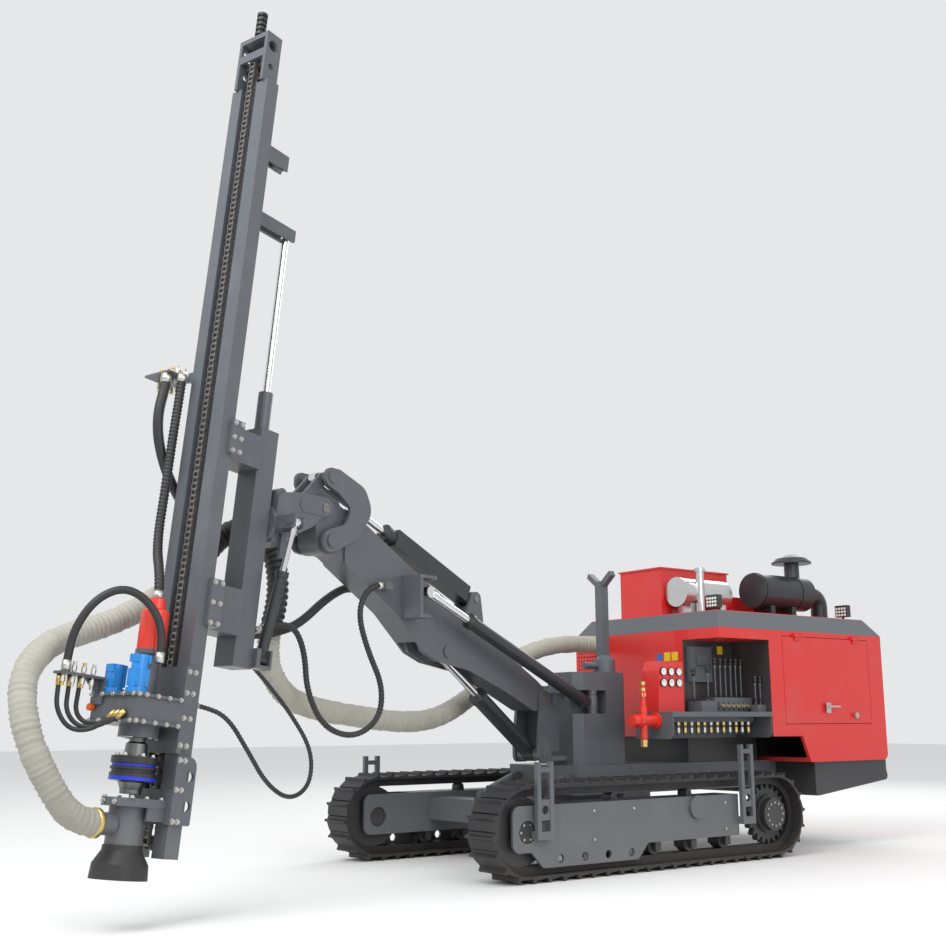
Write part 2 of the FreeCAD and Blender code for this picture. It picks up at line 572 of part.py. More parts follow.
U = (-7, d.rocker_arm)
tilt_base, tilt_eye = (d.tilt_base_out, 0, d.tilt_base_up), (d.rocker_out + U[0], 0, d.rocker_up + U[1])
tilt_frame = towards(swing, tilt_base, tilt_eye)
cover = cut(box((910, 128, 128), (78, 0, 0), "yz"), [rod("x", "tilt_bore - 4", 910, (78, 0, 0))])
node("tilt_barrel", fuse(barrel("tilt_bore", 1074, 54, 90, "tilt_rod", 28), cover), tilt_frame)
node("tilt_rod", piston("tilt_rod", 600, span(tilt_base, tilt_eye), 50, 60), tilt_frame)

# Slew cylinder: a knuckle in the column's pocket, a barrel forked on it, a rod eye beside the boom
slew_base = (d.slew_base_x, d.slew_base_y, d.slew_base_up)
slew_eye = swing.multVec(Vec(d.slew_eye_out, d.slew_eye_side, d.slew_eye_up))
heading = math.degrees(math.atan2(slew_eye.y - slew_base[1], slew_eye.x - slew_base[0]))
knuckle_frame = at(HOME, *slew_base, Z, heading)
arm = 110
slew_end = (math.hypot(slew_eye.x - slew_base[0], slew_eye.y - slew_base[1]), 0, slew_eye.z - slew_base[2])
slew_frame = towards(knuckle_frame, (arm, 0, 0), slew_end)
slew_reach = span((arm, 0, 0), slew_end)
knuckle = fuse(rod("z", 44, 110, (0, 0, -55)), box((arm, 40, 76), (0, 0, 0), "yz"), rod("y", 38, 40, (arm, 0, 0), True))
node("slew_knuckle", cut(knuckle, [rod("z", 24 + d.pin_fit, 110, (0, 0, -55)),
                                   rod("y", 22 + d.pin_fit, 60, (arm, 0, 0), True)]), knuckle_frame)
prongs = [plate("side", rounded((74, -36), (74, 36), (-36, 36, 35), (-36, -36, 35)), 18, (), s * 34) for s in (1, -1)]
slew_outer = fuse(rod("x", "slew_bore", 1530, (64, 0, 0)), *prongs, rod("y", 22, 90, (0, 0, 0), True),
                  rod("x", "slew_bore + 8", 36, (1558, 0, 0)))
node("slew_barrel", cut(slew_outer, [rod("x", "slew_rod + pin_fit", 1500, (100, 0, 0))]), slew_frame)
node("slew_rod", piston("slew_rod", 900, slew_reach, 42, 60), slew_frame)

# Rocker: two C-shaped plates outside the boom nose, on one pin through it
c_plate = rounded((-40, -68, 60), (66, -58, 60), (74, 40, 60), (0, 80, 50), (-150, 130, 80), (-200, 240, 60),
                  (-70, 330, 80), (U[0] + 66, U[1] - 50, 50), (U[0] + 64, U[1] + 62, 56), (U[0] - 70, U[1] + 60, 70),
                  (-330, 400, 120), (-415, 240, 130), (-260, 40, 160))
rocker_at = d.boom_half - 14 + 3 * d.pin_gap + d.cheek + d.cheek / 2
rocker_parts = [rod("y", 40, "2 * (boom_half + 3 * pin_gap + 2 * cheek) + 4", (0, 0, 0), True)]
for side in (1, -1):
    rocker_parts.append(plate("side", c_plate, "cheek", (), side * rocker_at))
    rocker_parts.append(rod("y", 30, rocker_at - 37, (U[0], side * (rocker_at + 37) / 2, U[1]), True))
    rocker_parts.append(rod("y", 42, 10, (U[0], side * (rocker_at + d.cheek / 2 + 4.5), U[1]), True))
node("rocker", fuse(*rocker_parts), at(root, N[0], 0, N[1]))

P = (d.head_out + d.head_arm, d.head_up)
link_frame = towards(swing, tilt_eye, (P[0], 0, P[1]))
link_reach = span(tilt_eye, (P[0], 0, P[1]))
link_side = rounded((-40, -40, 39), (link_reach + 40, -40, 39), (link_reach + 40, 40, 39), (-40, 40, 39))
links = [plate("side", link_side, 26, ((0, 0, 30 + d.pin_fit),), side * 52) for side in (1, -1)]
node("tilt_link", fuse(*links, rod("y", 30, 130, (link_reach, 0, 0), True)), link_frame)

# Head: hangs on the boom nose, carries the mast's swing pin and the swing cylinder's lug
h, p = on_mast(d.head_out, d.head_up), on_mast(*P)
cheek_side = rounded((h[0] - 80, h[1] - 20, 70), (h[0] - 70, h[1] + 80, 70), (p[0] + 30, p[1] + 74, 50),
                     (-480, p[1] + 20, 60), (-480, 2000, 20), (-560, 2000, 20), (-600, 1980, 20),
                     (h[0] + 100, h[1] - 150, 60), (h[0] + 40, h[1] - 80, 60))
cheek_at = d.boom_half - 14 + d.pin_gap + d.cheek / 2
cheeks = [plate("side", cheek_side, "cheek", ((h[0], h[1], 40 + d.pin_fit), (p[0], p[1], 32)), side * cheek_at)
          for side in (1, -1)]
lock = towards(HOME, (h[0], 0, h[1]), (p[0], 0, p[1]))
lock_span = math.hypot(p[0] - h[0], p[1] - h[1])
lock_plate = plate("side", rounded((-52, -52, 51), (lock_span + 52, -52, 51), (lock_span + 52, 52, 51), (-52, 52, 51)),
                   4.4, ((0, 0, 41),), cheek_at + d.cheek / 2 + 2)
lock_plate.Placement = lock
ears = [plate("side", rounded((-600, 1840, 25), (-545, 1840, 25), (-545, 2150, 20), (-600, 2150, 20)), 24, (), side * 103)
        for side in (1, -1)]
head_block = plate("side", rounded((-620, 1930, 20), (-480, 1930), (-480, 2270), (-540, 2310, 40), (-620, 2200, 30)), 190)
eye_w, base_w, base_z, ram_x = 250, 80, 1190, -520
lugs = [box((14, 200, 84), (ram_x + s * 42, 194, "roll_up"), "xyz") for s in (1, -1)]
heads = [rod("x", 26, 10, (ram_x + s * 53, eye_w, "roll_up"), True) for s in (1, -1)]
node("boom_head", fuse(*cheeks, lock_plate, *ears, head_block, *lugs, *heads, rod("x", "roll_radius", 78, (-480, 0, "roll_up")),
                       rod("x", 130, 27, (-480, 0, "roll_up"))), mast)

# Mast support: beam, guide blocks round the mast's rear, ram bracket, slide cylinder's barrel
shell = box(("support_depth", "support_width", "support_high - support_low"), ("0 - support_rear", 0, "support_low"), "y")
guides = []
for low, high in ((1300, 1580), (2355, 2570)):
    guides.append(box(("support_rear - support_depth + 9.7", 200, high - low), ("0 - support_rear + support_depth - 10", 0, low), "y"))
    guides.append(box((60, 400, high - low), (-60.3, 0, low), "y"))
    for side in (1, -1):
        guides.append(box((95, 30.7, high - low), (-60.3, side * (d.mast_width / 2 + 15.65), low), "y"))
hose_block = box((60, 140, 130), (-507, -50, 1290), "y")
bracket = [box((32, 90, 120), (-479, base_w, 1130), "y"), box((14, 90, 120), (-575, base_w, 1130), "y"),
           box((129, 90, 22), (-575, base_w, 1130), "y"), rod("x", 16, 97, (-575, base_w, base_z))]
rod_bore = rod("z", "comp_rod + pin_fit", 1200, ("0 - comp_back", 0, 1880))
barrel_end = rod("z", "comp_bore", "comp_top - support_high", ("0 - comp_back", 0, "support_high"))
node("mast_support", cut(fuse(shell, *guides, *bracket, hose_block, barrel_end),
                         [rod("x", "roll_radius + pin_fit", 46, ("0 - support_rear - 1", 0, "roll_up")), rod_bore]), mast)
ram_turn = math.atan2(d.roll_up - base_z, eye_w - base_w)
along = Vec(0, math.cos(ram_turn), math.sin(ram_turn))
ram_frame = mast.multiply(FreeCAD.Placement(Vec(ram_x, base_w, base_z), FreeCAD.Rotation(along, X, along.cross(X), "XYZ")))
ram_reach = span((base_w, base_z, 0), (eye_w, d.roll_up, 0))
node("swing_barrel", barrel(34, 560, 30, 60, 18, 16), ram_frame)
node("swing_rod", piston(18, 250, ram_reach, 30, 56), ram_frame)

# Mast: two box rails and a web, the box on top, brackets
near_rail = box(("mast_depth", 107, "mast_length"), (0, "mast_width / 2 - 53.5", 0), "y")
far_rail = box(("mast_depth", 90, "mast_length"), (0, "45 - mast_width / 2", 0), "y")
web = box((12, 145, "mast_length - 200"), (44, -8, 200), "y")
top_box = cut(box((130, "head_box_width", "head_box_length"), (-10, 0, "mast_length"), "y"),
              [box((150, "head_box_width - 50", "head_box_length - 34"), (2, 0, "mast_length - 1"), "y"),
               rod("y", 40, 400, (60, 0, "mast_length + 280"), True), rod("y", 22, 400, (60, 0, "mast_length + 120"), True)])
cross = box((14, "head_box_width - 20", 60), (106, 0, "mast_length + 190"), "y")
clevis = [box((415, 20, 84), (-420, s * 37, "comp_eye - 42"), "y") for s in (1, -1)]
clevis.append(box((14, 250, 120), (-13, 0, "comp_eye - 60"), "y"))
pulley = [box((240, 14, 110), (-235, s * 30 + 60, 4440), "y") for s in (1, -1)] + [rod("y", 62, 46, (-180, 60, 4490), True)]
hose_arm = [box((50, 50, 60), (45, -193.5, 2860), "y"), box((205, 235, 14), (45, -333, 2878), "y")]
node("mast_beam", fuse(near_rail, far_rail, web, top_box, cross, *clevis, *pulley, *hose_arm), mast)
spout = [rod("z", 26, 226, (50, -30, "mast_length + head_box_length"))]
spout += [rod("z", 36, 20, (50, -30, "mast_length + head_box_length + %d" % (20 + 38 * i))) for i in range(6)]
node("mast_spout", fuse(*spout), mast)
slide_rod = [rod("z", "comp_rod", "comp_eye - 2800", ("0 - comp_back", 0, 2800)),
             rod("y", 38, 53.4, ("0 - comp_back", 0, "comp_eye"), True)]
node("slide_rod", fuse(*slide_rod), mast)


def racetrack(radius, low, high, middle):
    return [Part.LineSegment(Vec(middle + radius, low, 0), Vec(middle + radius, high, 0)),
            Part.Arc(Vec(middle + radius, high, 0), Vec(middle, high + radius, 0), Vec(middle - radius, high, 0)),
            Part.LineSegment(Vec(middle - radius, high, 0), Vec(middle - radius, low, 0)),
            Part.Arc(Vec(middle - radius, low, 0), Vec(middle, low - radius, 0), Vec(middle + radius, low, 0))]


chain = plate("side", racetrack(44, 90, 5140, 50) + racetrack(32, 90, 5140, 50), 52, (), -8)
wheels = [rod("y", 31.7, 40, (50, -8, 90), True), rod("y", 20, 140.4, (50, -8.5, 90), True),
          rod("y", 31.7, 40, (50, -8, 5140), True), rod("y", 20, "head_box_width - 50.6", (50, 0, 5140), True)]
node("feed_chain", group(chain, fuse(*wheels[:2]), fuse(*wheels[2:])), mast)

# Rod guide on the mast's foot, dust hood and rubber bell
guide_sides = [plate("side", rounded((-33, 180, 15), (112, 180, 15), (112, 555, 15), (-33, 555, 60)), 20,
                     ((10, 285, 30), (10, 445, 30)), side * (d.mast_width / 2 + 10.3)) for side in (1, -1)]
guide_front = box((12, 379, 190), (100.3, 0, 180), "y")
guide_outline = rounded((100.3, -145), (300, -145), (385, -70), (385, 70), (300, 145), (100.3, 145))
guide_plate = cut(plate("top", guide_outline, 46, (), 285), [rod("z", 78, 80, ("spindle_out", 0, 250))])
guide_ribs = [box((130, 16, 70), (100.3, w, 192), "y") for w in (-132, 132)]
guide = fuse(*guide_sides, guide_front, guide_plate, *guide_ribs)
hood = fuse(rod("z", "hood_radius", 201.7, ("spindle_out", 0, 60), False, "hood_radius - 8"),
            rod("x", 60, 100, ("spindle_out + hood_radius - 6", 0, 165), False, 52))
node("rod_guide", group(guide, hood), mast)
bell = spun(((92.3, 59.7), (107, 59.7), (110, 30, 10), (d.bell_radius - 6, -40, 20), (d.bell_radius, -120),
             (d.bell_radius - 12, -120), (d.bell_radius - 18, -44), (100, 20)))
node("dust_bell", bell, at(mast, d.spindle_out))

# Carriage, gear case, motors, swivel and spindle
shoes_in = [box((45, 30, 440), (60, w, 585), "y") for w in (46.7, -63.7)]
near_cheek = plate("side", rounded((45, 585, 20), (130.3, 585), (130.3, 1050), (45, 1050, 20)), 16, (), 182.3)
node("carriage", fuse(box((30, 380.6, 485), ("mast_depth + 0.3", 0, 565), "y"), near_cheek, *shoes_in), mast)
bore_up = "neck_radius + pin_fit"
case = fuse(box(("gear_front - mast_depth - 30.6", "gear_width", 150), ("mast_depth + 30.6", 0, 710), "y"),
            box(("gear_front - mast_depth - 15.6", "gear_width + 30", 16), ("mast_depth + 30.6", 0, 700), "y"),
            box(("gear_front - mast_depth - 15.6", "gear_width + 30", 16), ("mast_depth + 30.6", 0, 844), "y"),
            rod("z", 112, 72, ("spindle_out", 0, 634)), rod("z", 62, 240, ("spindle_out", 0, 859)),
            rod("z", 84, 26, ("spindle_out", 0, 1098)))
arm_parts = [box((12, 100, 150), ("gear_front", -150, 795), "y"), box((277, 100, 14), ("gear_front", -150, 931), "y"),
             plate("side", rounded((450, 850), (475, 850, 20), (560, 933), (450, 933)), 14, (), -150)]
node("gear_case", fuse(cut(case, [rod("z", bore_up, 230, ("spindle_out", 0, 630))]), *arm_parts), mast)
motors = []
for side, high in ((1, 1075), (-1, 1025)):
    body_low, foot_low = 890.3, 860.3
    motors.append(fuse(rod("z", 46, high - body_low, (390, side * 100, body_low)),
                       box((84, 84, 96), (390, side * 100, body_low + 10), "xy"),
                       box((96, 70, 44), (390, side * 100, high - 44), "xy"),
                       rod("z", 59, 30, (390, side * 100, foot_low))))
node("rotation_motors", group(*motors), mast)
cap_of_swivel = spun(((0, 1124.3), (80, 1124.3), (80, 1350, 12), (52, 1364, 8), (48, 1420), (0, 1420)))
node("swivel", cap_of_swivel, at(mast, d.spindle_out))
shaft = spun(((d.socket_radius, 330), (58, 330), (60, 352), (76, 395, 12), (d.coupling_radius, 400), (d.coupling_radius, 440),
              (d.coupling_radius - 9, 443), (d.coupling_radius - 9, 457), (d.coupling_radius, 460),
              (d.coupling_radius, 474), (d.coupling_radius - 9, 477), (d.coupling_radius - 9, 490),
              (d.coupling_radius, 493), (d.coupling_radius, 530), (64, 530), (60, 600), (d.neck_radius, 612),
              (d.neck_radius, 855), (0, 855), (0, 330 + d.socket_depth), (d.socket_radius, 330 + d.socket_depth)))
node("spindle", shaft, at(mast, d.spindle_out))

# Tanks on the centre frame, canopy with the operator's bay and two side doors, roof
deck_tank = box((880, 820, "bay_low - frame_high - 0.6"), (-1900, 0, "frame_high + 0.3"), "y")
belly = plate("side", rounded((-2130, d.shell_low - 0.3), (-2130, 443, 30), (-3200, 560, 40), (d.shell_rear, 640, 30),
                              (d.shell_rear, d.shell_low - 0.3)), "2 * shell_half - 60")
node("fuel_tanks", group(deck_tank, belly))
sides = rounded((d.shell_front, d.bay_low), (d.shell_front, d.shell_high), (d.shell_rear, d.shell_high),
                (d.shell_rear, d.shell_low, 60), (-2050, d.shell_low, 20), (-1950, d.bay_low, 20))
w = d.shell_wall
inside = rounded((d.shell_front - w, d.bay_low + w), (d.shell_front - w, d.shell_high + 1), (d.shell_rear + w, d.shell_high + 1),
                 (d.shell_rear + w, d.shell_low + w, 40), (-2036, d.shell_low + w, 20), (-1936, d.bay_low + w, 20))
bay_wall = box(("shell_front - bay_rear + shell_wall", "bay_depth + shell_wall", "bay_high - bay_low + shell_wall"),
               ("bay_rear - shell_wall", "shell_half - bay_depth - shell_wall", "bay_low"))
bay = box(("shell_front - bay_rear + 10", "bay_depth + 10", "bay_high - bay_low + 10"),
          ("bay_rear", "shell_half - bay_depth", "bay_low - 10"))
doorway = box(("door_front - door_rear", "2 * shell_half + 10", "door_high - door_low"), ("door_rear", 0, "door_low"), "y")
shell = cut(fuse(cut(plate("side", sides, "2 * shell_half"), [plate("side", inside, "2 * shell_half - 2 * shell_wall")]),
                 bay_wall), [bay, doorway])
hinge_y, hinge_z = d.shell_half + 13, d.door_high + 4
hinge_x = (d.door_front - 200, d.door_rear + 200)
hinges = []
for side in (1, -1):
    for x in hinge_x:
        hinges += [box((20, 25, 30), (x + dx, side * (d.shell_half + 12.5), d.door_high - 6), "xy") for dx in (-45, 45)]
        hinges.append(rod("x", 6, 100, (x, side * hinge_y, hinge_z), True))
grille = [box((60, 16, 16), ("shell_front - 40", -860 + 38 * i, 1560 + 38 * k)) for i in range(7) for k in range(7)]
node("canopy_shell", fuse(cut(shell, [group(*grille)]), *hinges))
high, inset = d.roof_high, d.roof_inset


def ring(rise, step):
    front, rear, half = d.shell_front - step, d.shell_rear + step, d.shell_half - step
    return [(front, -half, rise), (front, half, rise), (rear, half, rise), (rear, -half, rise)]


low = d.shell_high + 0.3
roof = cut(loft(ring(low, 0), ring(high, inset)), [loft(ring(low - 1, w - 1), ring(high - w, inset + w - 22))])
node("canopy_roof", roof)
for name, side in (("left", 1), ("right", -1)):
    leaf = [box(("door_front - door_rear - 2 * door_gap", "shell_wall", "door_high - door_low - 2 * door_gap"),
                ("door_rear + door_gap", side * (d.shell_half - d.shell_wall / 2), "door_low + door_gap"), "y")]
    for x in hinge_x:
        leaf += [rod("x", 12, 60, (x, side * hinge_y, hinge_z), True),
                 box((60, 12, 40), (x, side * (d.shell_half + 6), hinge_z - 44), "xy")]
    node("door_" + name, cut(fuse(*leaf), [rod("x", 6 + d.pin_fit, "door_front - door_rear",
                                               ("door_rear", side * hinge_y, hinge_z))]))

# Operator's rack: an open tray on the bay's wall, a gauge box, valve banks with their levers, the control panel
rack_front, rack_low, rack_high = -350, 950, 1165
in_y, out_y = d.shell_half - d.bay_depth + 0.3, d.shell_half
rack_long, rack_mid = rack_front - d.bay_rear - 0.3, (in_y + out_y) / 2
end_plate = rounded((in_y, rack_low), (out_y - 8, rack_low, 50), (out_y - 8, rack_high), (in_y, rack_high))
rack = [box((rack_long, out_y - in_y, 12), ("bay_rear + 0.3", in_y, rack_high - 12)),
        box((rack_long, 12, rack_high - rack_low), ("bay_rear + 0.3", in_y, rack_low)),
        box((rack_long, 8, 40), ("bay_rear + 0.3", out_y - 8, rack_high - 40))]
rack += [plate("front", end_plate, 12, (), x) for x in (rack_front - 6, d.bay_rear + 6.3)]
node("valve_rack", fuse(*rack))
gauge_side = rounded((-700, rack_high + 0.3), (-400, rack_high + 0.3), (-415, 1500, 15), (-450, 1575, 15), (-700, 1575, 15))
node("gauge_box", plate("side", gauge_side, 190, (), 590))
LEVERS = (
    # x, y, height of the knob above the rack
    (-980, 700, 330), (-1110, 665, 400), (-1175, 665, 400), (-1240, 665, 400), (-1305, 665, 400), (-1370, 665, 400),
    (-1435, 665, 400), (-1470, 790, 250), (-1535, 790, 250), (-820, 690, 300),
)
bank = [box((460, 110, 120), (-1500, 665, rack_high + 0.3), "y"), box((190, 150, 90), (-1000, 700, rack_high + 0.3), "y"),
        box((110, 80, 60), (-1555, 790, rack_high + 0.3), "y")]
for i in range(7):
    bank.append(box((40, 150, 60), (-1480 + 62 * i, 665, rack_high + 20), "y"))
for x, y, high in LEVERS:
    bank += [rod("z", 6, high, (x, y, rack_high + 30)), rod("z", 11, 60, (x, y, rack_high + high - 30))]
bank += [box((30, 30, 60), (-820, 690, rack_high + 0.3), "xy"), box((30, 30, 60), (-980, 700, rack_high + 0.3), "xy")]
ports = [box((1120, 60, 70), (-1500, 700, rack_high - 82.3), "y")]
ports += [rod("z", 14, 110, (-1460 + 78 * i, 700, rack_high - 180)) for i in range(14)]
panel = fuse(box((260, 50, 300), (-1240, in_y, 1420)), box((120, 30, 90), (-1160, in_y + 45, 1560)))
node("valve_bank", group(fuse(*bank), fuse(*ports), panel))
tee = [rod("x", 46, 250, (rack_front - 12 + 12.3 + 20, 700, 1095)), rod("x", 66, 20, (rack_front + 0.3, 700, 1095)),
       rod("x", 58, 24, (-168, 700, 1095)), rod("z", 30, 250, (-210, 700, 960)), rod("z", 20, 480, (-210, 700, 890)),
       rod("z", 27, 40, (-210, 700, 1290)), rod("z", 27, 40, (-210, 700, 915))]
node("air_valve", fuse(*tee))

# On the roof: cooler housing, muffler with its stack, air cleaner with elbow and rain cap, lamps; filter on the column
roof = d.roof_high + 0.3
node("cooler_box", group(fuse(box((880, 520, 420), (-1960, -420, roof)), box((910, 550, 14), (-1975, -435, roof + 420))),
                         box((500, 560, 210), (-2470, -420, roof))))
muffler_at, muffler_up = 245, roof + 200
node("muffler", fuse(rod("x", 126, 600, (-1720, muffler_at, muffler_up)), rod("x", 132, 24, (-1144, muffler_at, muffler_up)),
                     rod("z", 38, 415, (-1300, muffler_at + 118, roof)), rod("z", 52, 22, (-1300, muffler_at + 118, roof + 380)),
                     box((70, 160, 110), (-1250, muffler_at, roof), "xy"), box((70, 160, 110), (-1640, muffler_at, roof), "xy")))
cleaner_at, cleaner_up = 420, roof + 245
elbow = hose_solid(78, ((-2640, cleaner_at, cleaner_up), (-2900, cleaner_at, cleaner_up), (-2900, cleaner_at, roof)))
node("air_cleaner", fuse(rod("x", 160, 720, (-2660, cleaner_at, cleaner_up)), rod("x", 166, 26, (-1990, cleaner_at, cleaner_up)),
                         rod("x", 166, 26, (-2500, cleaner_at, cleaner_up)), elbow,
                         rod("z", 70, 290, (-2520, cleaner_at, cleaner_up)),
                         moved(spun(((0, 60), (60, 56), (150, 20), (185, -14), (185, -30), (0, -30))),
                               (-2520, cleaner_at, cleaner_up + 315)),
                         box((60, 200, 110), (-2100, cleaner_at, roof), "xy"), box((60, 200, 110), (-2400, cleaner_at, roof), "xy")))
lamps = []
for x, y in ((-1120, 680), (-2900, 690)):
    lamps.append(fuse(box((60, 130, 110), (x, y, roof + 25), "xy"), rod("z", 12, 60, (x, y, roof))))
node("work_lamps", group(*lamps))
filter_x, filter_y, column_top = -330, 130, d.column_high + 14.3
tank_filter = fuse(rod("z", 92, 110, (filter_x, filter_y, column_top)), rod("z", 104, 16, (filter_x, filter_y, column_top)),
                         moved(spun(((0, 46), (50, 34), (80, 0), (0, 0))), (filter_x, filter_y, column_top + 109)),
                         rod("x", 28, 170, (filter_x + 60, filter_y, column_top + 60)))
node("oil_column", group(column, tank_filter, cradle_post))
node("engine_block", box((860, 620, 620), (-2920, 0, "shell_low + shell_wall + 0.3"), "y"))


# Hoses and the dust duct: straight runs joined by tangent arcs, one node each
HOSES = (
    # name, frame, radius, points of the route
    ("dust_duct_front", mast, 75, ((449.3, 0, 165), (600, 0, 165), (745, -50, 340), (860, -110, 540), (905, -180, 750),
                                   (870, -250, 930), (730, -300, 1090), (540, -320, 1190), (330, -330, 1280),
                                   (130, -330, 1400), (0, -330, 1500))),
    ("dust_duct_rear", swing, 75, ((3739.2, -330, 1843), (3540, -329, 1962), (3400, -326, 2130), (3230, -318, 2310),
                                   (3010, -300, 2370), (2860, -270, 2250), (2820, -240, 2070), (2840, -220, 1870),
                                   (2930, -205, 1640), (2930, -190, 1430), (2780, -180, 1250), (2475, -175, 1175),
                                   (2072, -170, 1132), (1600, -190, 1090), (1150, -240, 1110), (700, -300, 1240),
                                   (250, -350, 1460), (-200, -355, 1650), (-600, -345, 1750), (-900, -300, 1780),
                                   (-1104.6, -224.3, 1785), (-1267.8, -177.5, 1785))),
    ("air_hose", mast, 23, ((700, -130, 945.3), (700, -130, 1020), (700, -110, 1180), (640, -50, 1350), (520, 20, 1440),
                            (400, 90, 1390), (315, 140, 1260), (300, 150, 1120), (300, 150, 1040))),
    ("mast_hose", mast, 32, ((225, -262, 2877.7), (225, -262, 2790), (250, -262, 2620), (225, -262, 2460),
                             (150, -260, 2300), (60, -255, 2180), (-30, -250, 2090))),
    ("swivel_hose", mast, 30, ((255, 0, 1420.3), (255, 0, 1500), (240, -50, 1620), (205, -130, 1720), (180, -180, 1880),
                               (172, -185, 2080), (172, -185, 2330), (170, -185, 2560), (165, -185, 2740),
                               (165, -185, 2877.7))),
    ("boom_loom", swing, 30, ((2185.3, -135, 2018), (2250, -135, 2018), (2370, -130, 1975), (2527, -115, 1890),
                              (2690, -95, 1780), (2816, -88, 1712), (2950, -88, 1672), (3090, -88, 1645),
                              (3231, -88, 1636))),
    ("head_hose", swing, 21, ((2185.3, 135, 2018), (2260, 135, 2018), (2400, 145, 1930), (2450, 155, 1780),
                              (2370, 170, 1560), (2220, 175, 1330), (2230, 155, 1110), (2420, 100, 990),
                              (2650, 40, 1060), (2780, 10, 1290), (2800, 5, 1540), (2900, 10, 1700), (3060, 5, 1710),
                              (3165, -5, 1670), (3236, -10, 1660))),
    ("carriage_hose", swing, 15, ((3817, 110, 1197), (3727.6, 110, 1186.3), (3600, 175, 1130), (3440, 185, 930),
                                  (3250, 150, 730), (3000, 100, 620), (2770, 50, 700), (2730, 20, 920),
                                  (2900, -20, 1160), (3080, -35, 1330), (3200, -40, 1430), (3284.6, -40, 1500),
                                  (3276, -40, 1574.4))),
)
for label, frame, radius, points in HOSES:
    node(label, hose_solid(radius, points), frame)
short = [hose_solid(13, ((700 - 60 * i, -175 + 10 * i, 930.7), (700 - 60 * i, -175 + 10 * i, 850), (700 - 60 * i, -160, 740),
                         (640 - 50 * i, -110, 640 + 20 * i), (560 - 20 * i, -40 + 20 * i, 640 + 20 * i),
                         (500, 20 + 30 * i, 700), (465.3, 50 + 40 * i, 760))) for i in range(3)]
node("short_hoses", group(*short), mast)


def pivot(name, frame, x, y, z, axis):
    p, a = frame.multVec(Vec(x, y, z)), frame.Rotation.multVec(axis)
    print("pivot %s %.4f %.4f %.4f %.7f %.7f %.7f" % (name, p.x, p.y, p.z, a.x, a.y, a.z))


doc.recompute()
os.makedirs("parts", exist_ok=True)
for thing in doc.Objects:
    if "Invalid" in thing.State or "Error" in thing.State:
        raise SystemExit("%s failed: %s" % (thing.Label, thing.State))
for held in nodes:
    if held.Shape.isNull() or not held.Shape.isValid():
        raise SystemExit(held.Label + " has no valid shape")
    held.Shape.exportStep("parts/%s.step" % held.Label)
pivot("boom_swing", swing, 0, 0, 840, Z)
pivot("boom_lift", root, 0, 0, 0, -Y)
pivot("lift_barrel", lift_frame, 0, 0, 0, -Y)
pivot("lift_rod", lift_frame, 0, 0, 0, X)
pivot("tilt_barrel", tilt_frame, 0, 0, 0, Y)
pivot("tilt_rod", tilt_frame, 0, 0, 0, X)
pivot("slew_knuckle", knuckle_frame, 0, 0, 0, Z)
pivot("slew_barrel", slew_frame, 0, 0, 0, -Y)
pivot("slew_rod", slew_frame, 0, 0, 0, X)
pivot("rocker", root, N[0], 0, N[1], Y)
pivot("tilt_link", link_frame, 0, 0, 0, Y)
pivot("mast_tilt", root, H[0], 0, H[1], Y)
pivot("mast_swing", mast, -480, 0, d.roll_up, X)
pivot("swing_barrel", ram_frame, 0, 0, 0, Y)
pivot("swing_rod", ram_frame, 0, 0, 0, X)
pivot("mast_slide", mast, 0, 0, 2400, Z)
pivot("feed", mast, d.mast_depth, 0, 800, Z)
pivot("spindle", mast, d.spindle_out, 0, 330, Z)
pivot("door_left", HOME, hinge_x[0], hinge_y, hinge_z, X)
pivot("door_right", HOME, hinge_x[0], -hinge_y, hinge_z, -X)
print(len(nodes), "nodes written")
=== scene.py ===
# Down-the-hole drilling rig on crawler tracks: long linked boom, tall chain-fed mast, red machinery canopy.
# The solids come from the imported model; this script gives them their finishes and adds small fittings.
import math
import random

import bmesh
import bpy
from mathutils import Matrix, Vector


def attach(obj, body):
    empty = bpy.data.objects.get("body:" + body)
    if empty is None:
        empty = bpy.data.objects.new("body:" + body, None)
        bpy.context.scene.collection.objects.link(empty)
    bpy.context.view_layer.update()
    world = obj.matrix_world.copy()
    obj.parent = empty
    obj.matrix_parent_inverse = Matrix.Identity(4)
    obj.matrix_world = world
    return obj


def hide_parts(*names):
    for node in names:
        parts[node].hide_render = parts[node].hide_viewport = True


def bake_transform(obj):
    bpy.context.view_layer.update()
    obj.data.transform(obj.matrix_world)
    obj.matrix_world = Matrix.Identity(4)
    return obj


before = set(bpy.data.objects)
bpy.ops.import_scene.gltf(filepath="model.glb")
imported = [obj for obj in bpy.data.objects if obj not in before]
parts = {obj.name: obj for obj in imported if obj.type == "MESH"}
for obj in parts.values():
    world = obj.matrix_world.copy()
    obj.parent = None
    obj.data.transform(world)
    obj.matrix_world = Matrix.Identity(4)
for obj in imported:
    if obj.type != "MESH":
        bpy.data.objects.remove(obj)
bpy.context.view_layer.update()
random.seed(11)

# The view of the photograph: taken at chest height, ahead of the machine on its operator's side, looking a
# little up at the mast. The lens is the one that makes both tracks and the mast line up.
eye = Vector((6.9159, 7.8457, 1.0898))
heading, rise, tip = math.radians(-127.20), math.radians(11.355), math.radians(-0.284)
sensor, focal_in_pixels, photo_high = 36, 1226.3, 952
lens = bpy.data.cameras.new("viewpoint")
lens.sensor_fit = "VERTICAL"
lens.sensor_height = sensor
lens.lens = sensor * focal_in_pixels / photo_high
lens.clip_end = 200
viewpoint = bpy.data.objects.new("viewpoint", lens)
bpy.context.collection.objects.link(viewpoint)
look = Vector((math.cos(rise) * math.cos(heading), math.cos(rise) * math.sin(heading), math.sin(rise)))
turn = look.to_track_quat("-Z", "Y").to_matrix() @ Matrix.Rotation(tip, 3, "Z")
viewpoint.matrix_world = Matrix.Translation(eye) @ turn.to_4x4()
bpy.context.scene.camera = viewpoint
